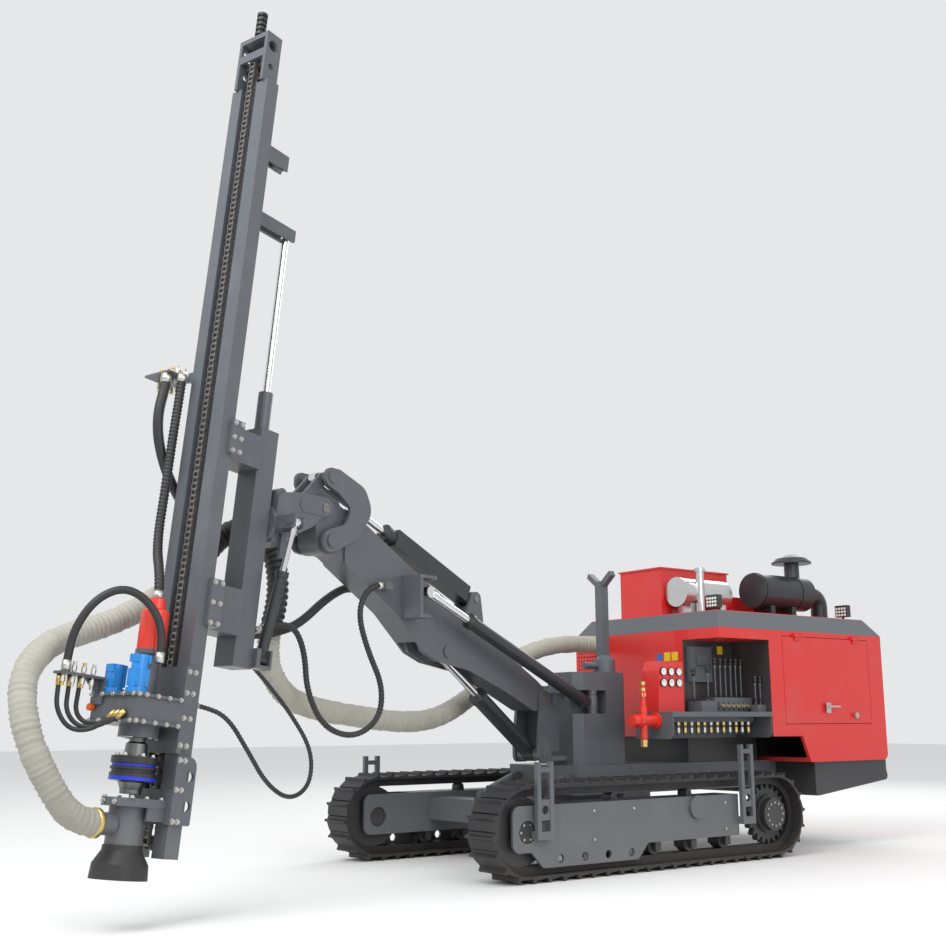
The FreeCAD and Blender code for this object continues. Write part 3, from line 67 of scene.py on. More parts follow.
bpy.context.scene.view_settings.view_transform = "Standard"


# Hoses: black rubber with steel ferrules, hung in loops between the boom, the mast and the carriage. Each is
# a tube along a smooth line through the route of its solid; the corrugated ones have their ribs modelled.
class Link:
    """A shader socket of a finish that takes part in Python sums."""

    def __init__(self, finish, socket):
        self.finish = finish
        self.socket = socket

    def sum(self, kind, first, second):
        return self.finish.node("ShaderNodeMath", {"operation": kind}, {0: first, 1: second})

    def __add__(self, other):
        return self.sum("ADD", self, other)

    __radd__ = __add__

    def __sub__(self, other):
        return self.sum("SUBTRACT", self, other)

    def __rsub__(self, other):
        return self.sum("SUBTRACT", other, self)

    def __mul__(self, other):
        return self.sum("MULTIPLY", self, other)

    __rmul__ = __mul__

    def above(self, edge, soft):
        """0 below the edge, 1 past it, with a soft step between."""
        values = {"Value": self, "From Min": edge - soft, "From Max": edge + soft}
        return self.finish.node("ShaderNodeMapRange", {"interpolation_type": "SMOOTHSTEP"}, values)


class Finish:
    """One material of this machine. Plain values go straight to the shader's sockets."""

    def __init__(self, name, **plain):
        self.material = bpy.data.materials.new(name)
        self.material.use_nodes = True
        self.tree = self.material.node_tree
        self.shader = self.tree.nodes["Principled BSDF"]
        for socket, value in plain.items():
            self.shader.inputs[socket.replace("_", " ")].default_value = value

    def node(self, kind, settings, values, output=0):
        """Adds a node: its type, its settings, and the values or links of its sockets."""
        made = self.tree.nodes.new(kind)
        for key, value in settings.items():
            setattr(made, key, value)
        for name, value in values.items():
            slot = made.inputs[name]
            if isinstance(value, Link):
                self.tree.links.new(value.socket, slot)
            else:
                slot.default_value = value
        return Link(self, made.outputs[output])

    def place(self):
        return self.node("ShaderNodeTexCoord", {}, {}, "Object")

    def noise(self, scale, detail=4.0):
        values = {"Vector": self.place(), "Scale": scale, "Detail": detail, "Roughness": 0.55}
        return self.node("ShaderNodeTexNoise", {}, values, "Fac")

    def along(self, direction):
        """How far a point lies along a direction, from the origin."""
        values = {0: self.place(), 1: direction}
        return self.node("ShaderNodeVectorMath", {"operation": "DOT_PRODUCT"}, values, "Value")

    def blend(self, share, first, second):
        """Colour from the first to the second, each a link or three numbers."""
        factor, first_colour, second_colour, mixed = 0, 6, 7, 2
        first, second = [value if isinstance(value, Link) else (*value, 1) for value in (first, second)]
        values = {factor: share, first_colour: first, second_colour: second}
        return self.node("ShaderNodeMix", {"data_type": "RGBA"}, values, mixed)

    def bump(self, height, strength, distance):
        values = {"Height": height, "Strength": strength, "Distance": distance}
        return self.node("ShaderNodeBump", {}, values, "Normal")

    def into(self, socket, link):
        self.tree.links.new(link.socket, self.shader.inputs[socket])


def wear(name, paint, dust, rough, dusty_below=0.0, coat=0.0, metal=0.0, grain=0.12):
    """Paint or metal with worn patches, fine specks and a film of dust that thickens towards the ground."""
    finish = Finish(name, Coat_Weight=coat, Metallic=metal)
    patches = finish.noise(3.1).above(0.62, 0.12)
    specks = finish.noise(55.0).above(0.66, 0.07)
    low = 1 - finish.along((0, 0, 1)).above(dusty_below, 0.45)
    share = patches * 0.14 + specks * 0.10 + low * 0.32
    finish.into("Base Color", finish.blend(share, paint, dust))
    finish.into("Roughness", share * 0.35 + rough)
    finish.into("Normal", finish.bump(finish.noise(160.0, 2.0), grain, 0.001))
    return finish.material


def speckled(name, first, second, scale, edge, soft, **plain):
    """Moulded, enamelled or glass surface: one colour with soft specks of another."""
    finish = Finish(name, **plain)
    finish.into("Base Color", finish.blend(finish.noise(scale).above(edge, soft), first, second))
    return finish.material


rubber = wear("black rubber", (0.016, 0.016, 0.017), (0.075, 0.07, 0.065), 0.5, 0.1)
ferrule = wear("zinc plated steel", (0.55, 0.54, 0.5), (0.2, 0.17, 0.12), 0.35, 0.1, 0.0, 0.9)
# Frames that the boom and the mast were drawn in: the swing about the kingpin, and the leaning mast's foot
swing = Matrix.Translation((0.24, 0, 0)) @ Matrix.Rotation(math.radians(16), 4, "Z")
mast = swing @ Matrix.Translation((3.919, 0, 0.353)) @ Matrix.Rotation(math.radians(-6.84), 4, "Y")


def centreline(frame_of, route, step):
    """Points every step along the smooth line of a route given in millimetres."""
    curve = bpy.data.curves.new("route", "CURVE")
    curve.dimensions = "3D"
    curve.resolution_u = 32
    spline = curve.splines.new("NURBS")
    spline.points.add(len(route) - 1)
    for knot, point in zip(spline.points, route):
        knot.co = (*(frame_of @ (Vector(point) / 1000)), 1)
    spline.order_u = 3
    spline.use_endpoint_u = True
    holder = bpy.data.objects.new("route", curve)
    bpy.context.collection.objects.link(holder)
    bpy.context.view_layer.update()
    dense = [v.co.copy() for v in bpy.data.meshes.new_from_object(holder).vertices]
    bpy.data.objects.remove(holder)
    total = length_of(dense)
    count = round(total / step)
    points, gone, k = [dense[0]], 0.0, 0
    for i in range(1, count):
        target = total * i / count
        while gone + (dense[k + 1] - dense[k]).length < target:
            gone += (dense[k + 1] - dense[k]).length
            k += 1
        points.append(dense[k].lerp(dense[k + 1], (target - gone) / (dense[k + 1] - dense[k]).length))
    return points + [dense[-1]]


def length_of(line):
    return sum((b - a).length for a, b in zip(line, line[1:]))


def finished(name, mesh, finish, slot, *bodies, smooth=False, ends=None):
    """The bmesh as an object, with its place in its mesh, on its body, or left where it lies when it runs between
    two.
    """
    bmesh.ops.recalc_face_normals(mesh, faces=mesh.faces)
    for face in mesh.faces:
        face.smooth = smooth
    data = bpy.data.meshes.new(name)
    mesh.to_mesh(data)
    mesh.free()
    data.materials.append(finish)
    made = bpy.data.objects.new(name, data)
    bpy.context.collection.objects.link(made)
    if len(bodies) == 1:
        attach(made, bodies[0])
    else:
        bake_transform(made)
    return made


def tube(mesh, line, radius, sides=16, rib=0.0, pitch=0.02, rough=0.0):
    """Rings bridged along a line; ribs swell every pitch, and rough makes them uneven."""
    before, side, last = None, Vector((0.3, 0.2, 0.93)), len(line) - 1
    gone = 0.0
    for i, point in enumerate(line):
        ahead = (line[min(i + 1, last)] - line[max(i - 1, 0)]).normalized()
        side = (side - ahead * side.dot(ahead)).normalized()
        place = Matrix((side, ahead.cross(side), ahead)).transposed().to_4x4()
        place.translation = point
        if i:
            gone += (point - line[i - 1]).length
        swell = rib * (0.5 * math.cos(2 * math.pi * gone / pitch) - 0.5) + rough * (random.random() - 0.5)
        made = bmesh.ops.create_circle(mesh, segments=sides, radius=radius + swell, matrix=place)["verts"]
        ring = list({edge for vert in made for edge in vert.link_edges})
        if before:
            bmesh.ops.bridge_loops(mesh, edges=before + ring)
        else:
            bmesh.ops.holes_fill(mesh, edges=ring)
        before = ring
    bmesh.ops.holes_fill(mesh, edges=before)


def sleeve(mesh, end, inner, radius, sides=16):
    """A ferrule or brass end pushed over a hose, from its end to a point further in."""
    tube(mesh, [end.lerp(inner, share) for share in (0.02, 0.5, 1.0)], radius, sides)


ROUTES = {
    # name: frame, radius, rib height, points of the route in millimetres
    "air_hose": (mast, 23, 0, ((700, -130, 945.3), (700, -130, 1020), (700, -110, 1180), (640, -50, 1350),
                               (520, 20, 1440), (400, 90, 1390), (315, 140, 1260), (300, 150, 1120),
                               (300, 150, 1040))),
    "mast_hose": (mast, 32, 0, ((225, -262, 2877.7), (225, -262, 2790), (250, -262, 2620), (225, -262, 2460),
                                (150, -260, 2300), (60, -255, 2180), (-30, -250, 2090))),
    "swivel_hose": (mast, 30, 5, ((255, 0, 1420.3), (255, 0, 1500), (240, -50, 1620), (205, -130, 1720),
                                  (180, -180, 1880), (172, -185, 2080), (172, -185, 2330), (170, -185, 2560),
                                  (165, -185, 2740), (165, -185, 2877.7))),
    "boom_loom": (swing, 30, 3, ((2185.3, -135, 2018), (2250, -135, 2018), (2370, -130, 1975), (2527, -115, 1890),
                                 (2690, -95, 1780), (2816, -88, 1712), (2950, -88, 1672), (3090, -88, 1645),
                                 (3231, -88, 1636))),
    "head_hose": (swing, 21, 4, ((2185.3, 135, 2018), (2260, 135, 2018), (2400, 145, 1930), (2450, 155, 1780),
                                 (2370, 170, 1560), (2220, 175, 1330), (2230, 155, 1110), (2420, 100, 990),
                                 (2650, 40, 1060), (2780, 10, 1290), (2800, 5, 1540), (2900, 10, 1700),
                                 (3060, 5, 1710), (3165, -5, 1670), (3236, -10, 1660))),
    "carriage_hose": (swing, 15, 3, ((3817, 110, 1197), (3727.6, 110, 1186.3), (3600, 175, 1130), (3440, 185, 930),
                                     (3250, 150, 730), (3000, 100, 620), (2770, 50, 700), (2730, 20, 920),
                                     (2900, -20, 1160), (3080, -35, 1330), (3200, -40, 1430), (3284.6, -40, 1500),
                                     (3276, -40, 1574.4))),
}
LAID = (
    # route, end of the piece's name, start and end of its share of the line, its bodies, far end
    ("air_hose", "", 0.0, 1.0, ("carriage",), "fitting"),
    ("mast_hose", "", 0.0, 1.0, ("mast",), "fitting"),
    ("swivel_hose", "", 0.0, 1.0, ("carriage", "mast"), "fitting"),
    ("boom_loom", "", 0.0, 0.55, ("boom", "head"), "object"),
    ("boom_loom", "_end", 0.55, 1.0, ("head", "support"), "fitting"),
    ("head_hose", "", 0.0, 0.6, ("boom", "head"), "object"),
    ("head_hose", "_end", 0.6, 1.0, ("head", "support"), "fitting"),
    ("carriage_hose", "", 0.0, 1.0, ("mast", "support"), "fitting"),
)
plain_step, ribbed_step, rib_pitch, lip = 0.03, 0.006, 0.024, 0.003
lines = {}
for route, tail, start, end, carriers, far_end in LAID:
    frame_of, radius, rib, points = ROUTES[route]
    if route not in lines:
        lines[route] = centreline(frame_of, points, ribbed_step if rib else plain_step)
    whole = lines[route]
    line = whole[round(start * (len(whole) - 1)):round(end * (len(whole) - 1)) + 1]
    ends = (line[0], line[-1])
    mesh = bmesh.new()
    tube(mesh, line, radius / 1000, 16, rib / 1000, rib_pitch)
    hose = finished(route + "_run" + tail, mesh, rubber, "black_rubber", *carriers, smooth=True, ends=ends)
    cuffs = bmesh.new()
    reach = 8 if rib else 2
    if not tail:
        sleeve(cuffs, line[0], line[reach], radius / 1000 + lip)
        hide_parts(route)
    if far_end == "fitting":
        sleeve(cuffs, line[-1], line[-1 - reach], radius / 1000 + lip)
    cuffs = finished(route + "_ferrules" + tail, cuffs, ferrule, "bare_steel", *carriers, smooth=True, ends=ends)
    length_of(line)
    2 * radius / 1000

# Three short hoses loop from the bulkhead on the carriage's arm to the front of the gear case, below the
# motors: black rubber, 26 mm thick, with brass ends.
brass = wear("brass fittings", (0.62, 0.45, 0.16), (0.3, 0.22, 0.12), 0.32, 0.1, 0.0, 0.9)
for i in range(3):
    line = centreline(mast, ((700 - 60 * i, -175 + 10 * i, 930.7), (700 - 60 * i, -175 + 10 * i, 850),
                             (700 - 60 * i, -160, 740), (640 - 50 * i, -110, 640 + 20 * i),
                             (560 - 20 * i, -40 + 20 * i, 640 + 20 * i), (500, 20 + 30 * i, 700),
                             (465.3, 50 + 40 * i, 760)), 0.02)
    loop, ends = bmesh.new(), bmesh.new()
    tube(loop, line, 0.013, 12)
    loop = finished("short_hose_%d" % (i + 1), loop, rubber, "black_rubber", "carriage", smooth=True)
    sleeve(ends, line[0], line[3], 0.017, 12)
    sleeve(ends, line[-1], line[-4], 0.017, 12)
    ends = finished("short_hose_%d_ends" % (i + 1), ends, brass, "bare_steel", "carriage", smooth=True)
    if i == 0:
        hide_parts("short_hoses")
    length_of(line)

# Dust duct: a wrinkled cloth tube on a wire coil that carries the cuttings' dust from the hood to the canopy,
# ribbed rubber on its two stretches behind the mast. It is far thicker than a cord, so it is made in pieces, one for
# each stretch between two joints.
canvas = wear("pale duct cloth", (0.40, 0.39, 0.34), (0.13, 0.118, 0.092), 0.85, 1.1, 0.0, 0.0, 0.5)
duct_radius = 0.075
WOUND = {"rib": 0.006, "pitch": 0.034, "rough": 0.007}
RIBBED = {"rib": 0.010, "pitch": 0.044, "rough": 0.0}
FRONT_ROUTE = ((449.3, 0, 165), (600, 0, 165), (745, -50, 340), (860, -110, 540), (905, -180, 750),
               (870, -250, 930), (730, -300, 1090), (540, -320, 1190), (330, -330, 1280), (130, -330, 1400),
               (0, -330, 1500))
REAR_ROUTE = ((3739.2, -330, 1843), (3540, -329, 1962), (3400, -326, 2130), (3230, -318, 2310),
              (3010, -300, 2370), (2860, -270, 2250), (2820, -240, 2070), (2840, -220, 1870), (2930, -205, 1640),
              (2930, -190, 1430), (2780, -180, 1250), (2475, -175, 1175), (2072, -170, 1132), (1600, -190, 1090),
              (1150, -240, 1110), (700, -300, 1240), (250, -350, 1460), (-200, -355, 1650), (-600, -345, 1750),
              (-900, -300, 1780), (-1104.6, -224.3, 1785), (-1267.8, -177.5, 1785))
STRETCHES = (
    # start and end of its share of the rear line, the two bodies, ribs, finish
    (0.0, 0.10, "mast", "support", RIBBED, rubber),
    (0.10, 0.26, "support", "head", RIBBED, rubber),
    (0.26, 0.42, "head", "boom", WOUND, canvas),
    (0.42, 0.72, "boom", "foot", WOUND, canvas),
    (0.72, 1.0, "foot", "undercarriage", WOUND, canvas),
)
front_line = centreline(mast, FRONT_ROUTE, 0.008)
rear_line = centreline(swing, REAR_ROUTE, 0.008)
mesh = bmesh.new()
tube(mesh, front_line, duct_radius, 24, **WOUND)
duct = finished("dust_duct_front_run", mesh, canvas, "white_paint", "mast", smooth=True)
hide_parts("dust_duct_front")
last = len(rear_line) - 1
for i, (start, end, one, other, ribs, finish) in enumerate(STRETCHES):
    line = rear_line[round(start * last):round(end * last) + 1]
    mesh = bmesh.new()
    tube(mesh, line, duct_radius, 24, **ribs)
    run = finished("dust_duct_run_%d" % (i + 1), mesh, finish, "white_paint", one, other, smooth=True,
                   ends=(line[0], line[-1]))
    if i == 0:
        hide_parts("dust_duct_rear")
band = bmesh.new()
tube(band, front_line[:4], duct_radius + 0.006, 24)
finished("duct_band_clamp", band, brass, "bare_steel", "mast", smooth=True)

# Frames, column, boom, head, support and mast: welded plate, grey paint. Every solid gets it first, and the
# sections below paint their own over it.
grey = (0.085, 0.095, 0.108)
grey_plate = wear("grey plate paint", grey, (0.2, 0.19, 0.175), 0.45, 0.4, 0.15)
for solid in parts.values():
    solid.data.materials.clear()
    solid.data.materials.append(grey_plate)


def paint(finish, *names):
    for name in names:
        parts[name].data.materials[0] = finish


# Tracks: cast steel shoes pinned into a loop, black with dry earth, round idlers, rollers and final drives in
# black paint. Rings of zinc-plated bolts hold the drives and the hubs, and more sit on the side frames.
def axle(axis):
    """Turn from the Z axis to an axis of the frame."""
    return {"x": Matrix.Rotation(math.pi / 2, 4, "Y"), "y": Matrix.Rotation(-math.pi / 2, 4, "X"),
            "z": Matrix.Identity(4)}[axis]


def put_bar(mesh, frame_of, axis, radius, long, centre, sides=24, top=None):
    """Round or many-sided bar along an axis of its frame, about its middle; top is the far end's radius."""
    place = frame_of @ Matrix.Translation(Vector(centre) / 1000) @ axle(axis)
    tip_radius = radius if top is None else top
    return bmesh.ops.create_cone(mesh, cap_ends=True, segments=sides, radius1=radius / 1000,
                                 radius2=tip_radius / 1000, depth=long / 1000, matrix=place)["verts"]


HOME = Matrix.Identity(4)
paint(wear("track steel", (0.028, 0.028, 0.03), (0.16, 0.13, 0.10), 0.5, 0.0, 0.0, 0.3), "track_left", "track_right")
dark_plate = wear("dark plate paint", (0.022, 0.024, 0.027), (0.1, 0.09, 0.085), 0.42, 0.5, 0.1)
paint(dark_plate, "idlers", "rollers", "final_drives")
wheel_reach, axle_up, hub_face, frame_face = 1316, 341.6, 1062, 1079
mesh = bmesh.new()
for side in (1, -1):
    for x, ring, count in ((-wheel_reach, 92, 12), (wheel_reach, 56, 6)):
        for i in range(count):
            a = 2 * math.pi * i / count
            spot = (x + ring * math.cos(a), side * (hub_face + 3), axle_up + ring * math.sin(a))
            put_bar(mesh, HOME, "y", 9, 10, spot, 6)
    for x, z in ((-700, 460), (-700, 260), (-300, 460), (300, 460), (700, 460), (700, 260)):
        put_bar(mesh, HOME, "y", 11, 9, (x, side * frame_face, z), 6)
finished("track_frame_bolts", mesh, ferrule, "bare_steel", "undercarriage")

# Boom's cylinders and pins: black barrels, chromed rods, steel pins whose ends are covered by turned caps, each
# held by three bolts.
bare_steel = wear("bare steel", (0.26, 0.25, 0.24), (0.2, 0.15, 0.11), 0.42, 0.2, 0.0, 0.8)
bright_rod = Finish("chromed rod", Metallic=1.0, Roughness=0.12, Base_Color=(0.75, 0.75, 0.76, 1)).material
paint(dark_plate, "tilt_barrel", "lift_barrel", "slew_barrel", "swing_barrel")
paint(bright_rod, "lift_rod", "tilt_rod", "slew_rod", "swing_rod", "slide_rod")
paint(bare_steel, "foot_pins", "boom_pins")
PINS = {
    # body: (swing frame: out, up, half length), cap's radius and thickness
    "boom": ((2725, 2268, 118, 34, 8), (2745, 2485, 118, 34, 8)),
    "foot": ((170, 1270, 132, 52, 3), (200, 840, 132, 26, 3)),
}
for body, pins in PINS.items():
    mesh = bmesh.new()
    for out, up, half, wide, thick in pins:
        for side in (1, -1):
            put_bar(mesh, swing, "y", wide, thick, (out, side * (half + thick / 2), up), 32)
            for i in range(3):
                a = 0.5 + i * 2 * math.pi / 3
                spot = (out + 0.6 * wide * math.cos(a), side * (half + thick + 1), up + 0.6 * wide * math.sin(a))
                put_bar(mesh, swing, "y", 8, thick, spot, 6)
    finished(body + "_pin_caps", mesh, bare_steel, "bare_steel", body)

# Feed chain: a leaf of plates and rollers round the two wheels of the mast, in place of the plain band of its
# solid. Bare steel, oiled.
chain_pitch, roller_up, low_z, high_z, chain_x, chain_w, chain_r = 38.1, 19, 90, 5140, 50, -8, 38
straight, bend = high_z - low_z, math.pi * chain_r
loop_length = 2 * (straight + bend)
links = round(loop_length / chain_pitch)
mesh = bmesh.new()
for i in range(links):
    s = loop_length * i / links
    if s < straight:
        x, z, tilt = chain_x + chain_r, low_z + s, 0
    elif s < straight + bend:
        tilt = (s - straight) / chain_r
        x, z = chain_x + chain_r * math.cos(tilt), high_z + chain_r * math.sin(tilt)
    elif s < 2 * straight + bend:
        x, z, tilt = chain_x - chain_r, high_z - (s - straight - bend), math.pi
    else:
        tilt = math.pi + (s - 2 * straight - bend) / chain_r
        x, z = chain_x + chain_r * math.cos(tilt), low_z + chain_r * math.sin(tilt)
    at_link = mast @ Matrix.Translation((x / 1000, chain_w / 1000, z / 1000)) @ Matrix.Rotation(-tilt, 4, "Y")
    half = 17 if i % 2 else 22
    for side in (1, -1):
        plate = put_bar(mesh, at_link, "y", 15, 4, (0, side * half, 0), 8)
        bmesh.ops.scale(mesh, vec=(1, 1, 1.75), space=at_link.inverted(), verts=plate)
    put_bar(mesh, at_link, "y", 10, 46, (0, 0, roller_up), 8)
for z, axle_w, wide in ((low_z, chain_w, 190), (high_z, 0, 220)):
    put_bar(mesh, mast, "y", 31, 30, (chain_x, chain_w, z), 22)
    put_bar(mesh, mast, "y", 20, wide, (chain_x, axle_w, z), 20)
chain = finished("feed_chain_links", mesh, bare_steel, "bare_steel", "mast")
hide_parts("feed_chain")
paint(bare_steel, "feed_chain")
paint(rubber, "dust_bell", "mast_spout")


# Bolt heads on the flanged cases, guide plates and covers of the mast: zinc-plated hexagons on washers.
# They are screwed into the welded plates and into the coupling's flange.
def put_bolt(mesh, frame_of, axis, spot, size):
    put_bar(mesh, frame_of, axis, size * 1.25, size * 0.35, spot, 12)
    raised = [value + (size * 0.5 if name == axis else 0) for name, value in zip("xyz", spot)]
    put_bar(mesh, frame_of, axis, size * 0.9, size * 0.9, raised, 6)


def round_spots(ring, turns, z):
    """Spots of a bolt circle about the spindle's axis."""
    spindle_out = 255
    return [(spindle_out + ring * math.cos(a), ring * math.sin(a), z) for a in turns]


BOLTED = {
    # body: (axis, size, spots in the mast's frame)
    "carriage": (("y", 11, [(x, 211, z) for x in (160, 240, 320, 400, 450) for z in (708, 852)]),
                 ("x", 11, [(466, w, z) for w in (-180, -90, 0, 90, 180) for z in (708, 852)]),
                 ("y", 13, [(x, 191, z) for x in (65, 110) for z in (610, 760, 900, 1020)]),
                 ("z", 12, round_spots(100, (0.5, 1.6, 2.6, 3.7, 4.7, 5.8), 632))),
    "spindle": (("z", 15, round_spots(96, (0.3, 1.35, 2.4, 3.44, 4.5, 5.5), 534)),),
    "mast": (("x", 13, [(386, w, 285) for w in (-50, 50)]),
             ("y", 13, [(x, 190, z) for x in (60, 95) for z in (200, 370, 530)]),
             ("z", 13, [(x, w, 309) for x in (130, 230, 330) for w in (-120, 120)])),
    "support": (("y", 13, [(x, 200, z) for x in (-40, 15) for z in (1320, 1440, 1560, 2375, 2460, 2550)]),),
}
for body, groups in BOLTED.items():
    mesh = bmesh.new()
    for axis, size, spots in groups:
        for spot in spots:
            put_bolt(mesh, mast, axis, spot, size)
    finished(body + "_bolt_heads", mesh, ferrule, "bare_steel", body)

# Rotation unit: blue motors, a red air swivel, and a black coupling with blue bands below the gear case. Masks
# along the mast paint the coupling's bands, because they lie within one solid.
paint(wear("blue motor paint", (0.01, 0.22, 0.62), (0.1, 0.2, 0.3), 0.35, 0.2, 0.2), "rotation_motors")
paint(wear("red casting paint", (0.68, 0.03, 0.015), (0.4, 0.12, 0.08), 0.3, 0.2, 0.3), "swivel", "air_valve")
coupling = Finish("coupling paint", Roughness=0.4)
up_the_mast = mast.to_3x3() @ Vector((0, 0, 1))
height = coupling.along(up_the_mast) - mast.translation.dot(up_the_mast)


def between(low, high):
    return height.above(low / 1000, 0.0005) - height.above(high / 1000, 0.0005)


disc = between(399.5, 530.5)
coated = coupling.blend(disc, (0.2, 0.2, 0.2), (0.02, 0.02, 0.022))
coupling.into("Base Color", coupling.blend(between(400, 419) + between(477, 490), coated, (0.01, 0.03, 0.5)))
coupling.into("Metallic", 1 - disc)
paint(coupling.material, "spindle")

# Unions on the mast's hose arm and on the carriage's bulkhead: zinc and brass hexagons on short pipes. An
# orange cap closes the port on the gear case's far corner.
UNIONS = {
    "mast": [(x, w, z, 17) for x in (90, 150) for w in (-420, -370, -320, -270) for z in (2845, 2925)],
    "carriage": [(700 - 60 * i, -145 + 5 * i, z, 15) for i in range(4) for z in (905, 970)],
}
for body, spots in UNIONS.items():
    steel_bits, yellow_bits = bmesh.new(), bmesh.new()
    for k, (x, w, z, wide) in enumerate(spots):
        put_bar(steel_bits, mast, "z", wide, 30, (x, w, z), 6)
        put_bar(yellow_bits if k % 4 < 2 else steel_bits, mast, "z", wide * 0.7, 74, (x, w, z), 12)
    finished(body + "_steel_unions", steel_bits, ferrule, "bare_steel", body)
    finished(body + "_brass_unions", yellow_bits, brass, "bare_steel", body)
mesh = bmesh.new()
put_bar(mesh, mast, "x", 20, 26, (470, -178, 780), 24)
orange = speckled("orange cap", (0.8, 0.12, 0.01), (0.5, 0.1, 0.02), 80.0, 0.6, 0.1, Roughness=0.35)
finished("orange_cap", mesh, orange, "red_paint", "carriage")

# Canopy: folded sheet, red outside and dark in the operator's bay, under a grey roof edge with a red top. The
# fuel tanks and the engine in it are black.
red = (0.60, 0.018, 0.015)
canopy = Finish("canopy paint", Coat_Weight=0.3)
x, y, z = (canopy.along(axis) for axis in ((1, 0, 0), (0, 1, 0), (0, 0, 1)))
bay_rear, bay_front, bay_back, bay_mouth, bay_top, edge = -1.6, -0.934, 0.44, 0.886, 1.774, 0.001
bay = y.above(bay_back, edge) * (1 - y.above(bay_mouth, edge)) * x.above(bay_rear, edge)
bay = bay * (1 - x.above(bay_front, edge)) * (1 - z.above(bay_top, edge))
dirt = canopy.noise(3.1).above(0.62, 0.12) * 0.12 + canopy.noise(55.0).above(0.66, 0.07) * 0.08
outside = canopy.blend(dirt, red, (0.35, 0.15, 0.12))
canopy.into("Base Color", canopy.blend(bay, outside, (0.045, 0.04, 0.04)))
canopy.into("Roughness", dirt * 0.4 + 0.34)
canopy.into("Normal", canopy.bump(canopy.noise(160.0, 2.0), 0.12, 0.001))
roof = Finish("roof paint", Roughness=0.4, Coat_Weight=0.2)
roof_top = 2.016
roof.into("Base Color", roof.blend(roof.along((0, 0, 1)).above(roof_top, 0.002), grey, red))
paint(canopy.material, "canopy_shell")
paint(roof.material, "canopy_roof")
paint(dark_plate, "engine_block", "fuel_tanks")


# Side doors: red sheet, hinged along the upper edge, each with a folded steel lever on its plate and a round
# latch, both zinc-plated.
def put_box(mesh, frame_of, size, centre, bevel=0.0):
    """Box about its middle, with its edges rounded by the bevel."""
    made = bmesh.ops.create_cube(mesh, size=1)["verts"]
    scale = Matrix.Diagonal((*(s / 1000 for s in size), 1))
    place = frame_of @ Matrix.Translation(Vector(centre) / 1000) @ scale
    bmesh.ops.transform(mesh, matrix=place, verts=made)
    if bevel:
        edges = list({edge for vert in made for edge in vert.link_edges})
        bmesh.ops.bevel(mesh, geom=edges, offset=bevel / 1000, offset_type="OFFSET", segments=2, profile=0.5,
                        affect="EDGES", material=-1)


red_panel = wear("red panel paint", red, (0.35, 0.15, 0.12), 0.34, 0.8, 0.3)
paint(red_panel, "door_left", "door_right")
for body, side in (("door_left", 1), ("door_right", -1)):
    mesh = bmesh.new()
    put_box(mesh, HOME, (60, 6, 90), (-2300, side * 918, 1200), 3)
    put_bar(mesh, HOME, "y", 13, 22, (-2300, side * 926, 1215), 24)
    put_box(mesh, HOME, (150, 8, 16), (-2365, side * 938, 1212), 4)
    put_bar(mesh, HOME, "y", 26, 8, (-2700, side * 919, 1135), 28)
    put_bar(mesh, HOME, "y", 15, 14, (-2700, side * 921, 1135), 24)
    finished(body + "_lever", mesh, ferrule, "bare_steel", body)

# Blank plates: small enamelled steel plates, yellow and blue, fixed flat on the canopy's front and on the wall
# of the operator's bay. They are left without any sign.
plate_front, plate_up = -928.4, 1640
PLATES = {
    # colour: its value, sizes and middles of its plates
    "yellow": ((0.75, 0.5, 0.02), (((3, 74, 74), (plate_front, 380, plate_up)),
                                   ((3, 74, 74), (plate_front, 290, plate_up)), ((70, 3, 70), (-1400, 472, 1700)))),
    "blue": ((0.02, 0.15, 0.5), (((3, 60, 60), (plate_front, 200, plate_up)),)),
}
for colour, (value, plates) in PLATES.items():
    mesh = bmesh.new()
    for size, centre in plates:
        put_box(mesh, HOME, size, centre, 1)
    worn = tuple(part * 0.7 for part in value)
    enamel = speckled(colour + " enamel", value, worn, 40.0, 0.62, 0.1, Roughness=0.35)
    finished(colour + "_plates", mesh, enamel, "white_paint", "undercarriage")

# On the roof: a red cooler housing, an aluminised muffler, a black air cleaner, and two black work lamps with
# rows of small clear lenses in their front faces.
paint(red_panel, "cooler_box")
paint(wear("aluminised steel", (0.62, 0.62, 0.62), (0.35, 0.33, 0.3), 0.22, 0.2, 0.0, 0.95, 0.02), "muffler")
paint(dark_plate, "air_cleaner", "work_lamps")
lens_gap, lamp_low = 30, 2065
mesh = bmesh.new()
for x, y in ((-1089, 680), (-2869, 690)):
    for i in range(4):
        for k in range(3):
            put_bar(mesh, HOME, "x", 12, 6, (x, y - 1.5 * lens_gap + lens_gap * i, lamp_low + lens_gap * k), 12)
clear = speckled("lamp lens", (0.8, 0.8, 0.75), (0.6, 0.6, 0.55), 200.0, 0.5, 0.2, Roughness=0.1, Coat_Weight=0.5)
finished("lamp_lenses", mesh, clear, "white_paint", "undercarriage")

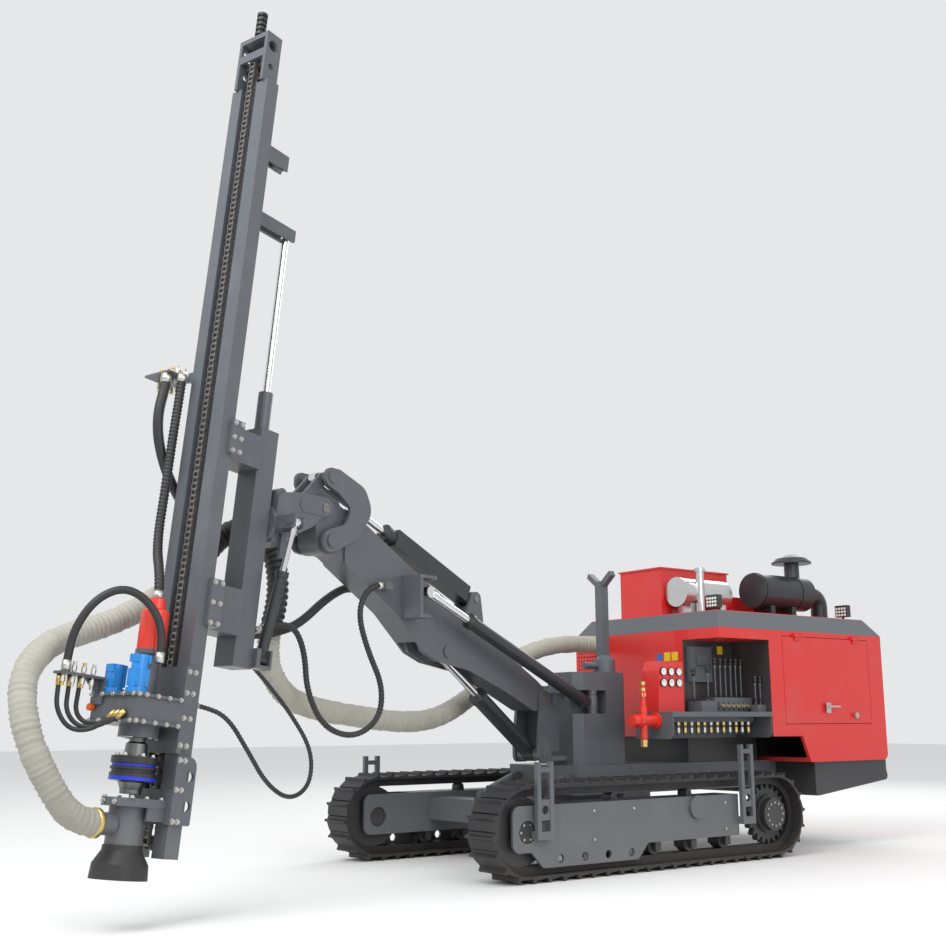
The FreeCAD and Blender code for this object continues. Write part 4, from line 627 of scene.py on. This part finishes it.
# Operator's controls: steel levers with black moulded knobs and boots, and brass and zinc unions screwed on the
# ports of the valves, on the tray below them and on the air valve.
plastic = speckled("black moulded plastic", (0.012, 0.012, 0.013), (0.03, 0.03, 0.03), 90.0, 0.6, 0.1, Roughness=0.35)
tray_top, ports_y, first_port, air_valve_x, high_lever = 1165, 700, -1460, -210, 320
LEVERS = (
    # x, y, height of the lever's end above the tray
    (-980, 700, 330), (-1110, 665, 400), (-1175, 665, 400), (-1240, 665, 400), (-1305, 665, 400),
    (-1370, 665, 400), (-1435, 665, 400), (-1470, 790, 250), (-1535, 790, 250), (-820, 690, 300),
)
mesh = bmesh.new()
for x, y, high in LEVERS:
    place = Matrix.Translation((x / 1000, y / 1000, (tray_top + high + 40) / 1000))
    bmesh.ops.create_uvsphere(mesh, u_segments=16, v_segments=10, radius=0.021, matrix=place)
    put_bar(mesh, HOME, "z", 15, 34, (x, y, tray_top + high + 12), 16, 19)
    put_bar(mesh, HOME, "z", 16, 26, (x, y, 1290 if high > high_lever else 1270), 16, 8)
finished("lever_knobs", mesh, plastic, "black_rubber", "undercarriage", smooth=True)
brass_bits, zinc_bits = bmesh.new(), bmesh.new()
for i in range(14):
    x = first_port + 78 * i
    put_bar(brass_bits if i % 3 else zinc_bits, HOME, "z", 19, 26, (x, ports_y, 1070), 6)
    put_bar(zinc_bits if i % 2 else brass_bits, HOME, "z", 17, 40, (x, ports_y, 1018), 6)
for i in range(7):
    x = first_port + 62 * i
    put_bar(zinc_bits, HOME, "y", 15, 22, (x, 750, 1214), 6)
    put_bar(brass_bits, HOME, "y", 9, 40, (x, 758, 1214), 12)
for z, wide in ((1390, 24), (1340, 26), (1300, 30), (930, 32), (905, 30)):
    put_bar(brass_bits, HOME, "z", wide, 26, (air_valve_x, ports_y, z), 6)
finished("brass_unions", brass_bits, brass, "bare_steel", "undercarriage")
finished("zinc_unions", zinc_bits, ferrule, "bare_steel", "undercarriage")

# Gauges: white dials in black rims on the red gauge box, each with plain ticks round it and one needle, and no
# figures.
paint(red_panel, "gauge_box")
box_face, dial = 685, 34
rims, faces, marks = bmesh.new(), bmesh.new(), bmesh.new()
for x in (-640, -550, -460):
    for z in (1490, 1400):
        put_bar(rims, HOME, "y", dial, 12, (x, box_face + 6, z), 28)
        put_bar(faces, HOME, "y", dial - 5, 3, (x, box_face + 12, z), 28)
        middle = Matrix.Translation((x / 1000, (box_face + 14) / 1000, z / 1000))
        for i in range(9):
            tick = middle @ Matrix.Rotation(-math.radians(-30 + 30 * i), 4, "Y")
            put_box(marks, tick, (6, 1.2, 1.6), (dial - 12, 0, 0))
        put_box(marks, middle @ Matrix.Rotation(-0.9, 4, "Y"), (dial * 0.6, 1.2, 2), (dial * 0.25, 0, 0))
white = speckled("white dial", (0.78, 0.78, 0.76), (0.7, 0.7, 0.66), 60.0, 0.6, 0.2, Roughness=0.3)
finished("gauge_rims", rims, plastic, "black_rubber", "undercarriage")
finished("gauge_faces", faces, white, "white_paint", "undercarriage")
finished("gauge_marks", marks, plastic, "black_rubber", "undercarriage")

# The stage: a plain pale floor under a pale sky, and three broad soft lights, the strongest ahead of the
# machine on its near side.
bpy.ops.mesh.primitive_plane_add(size=90)
floor = bpy.context.object
floor.name = "floor"
floor.data.materials.append(Finish("floor", Roughness=0.9, Base_Color=(0.80, 0.80, 0.79, 1)).material)
world = bpy.data.worlds.new("sky")
bpy.context.scene.world = world
world.use_nodes = True
sky = world.node_tree.nodes["Background"]
sky.inputs["Color"].default_value = (0.93, 0.94, 0.96, 1)
sky.inputs["Strength"].default_value = 0.85
LIGHTS = (
    # name, place, size, power
    ("key", (9, 3, 10), 7, 900), ("fill", (2, 11, 6), 8, 420), ("rear", (-9, -5, 8), 7, 380),
)
for name, place, size, power in LIGHTS:
    lamp = bpy.data.lights.new(name, "AREA")
    lamp.size = size
    lamp.energy = power
    holder = bpy.data.objects.new(name, lamp)
    holder.location = place
    holder.rotation_euler = (Vector((0, 0, 1.5)) - Vector(place)).to_track_quat("-Z", "Y").to_euler()
    bpy.context.collection.objects.link(holder)
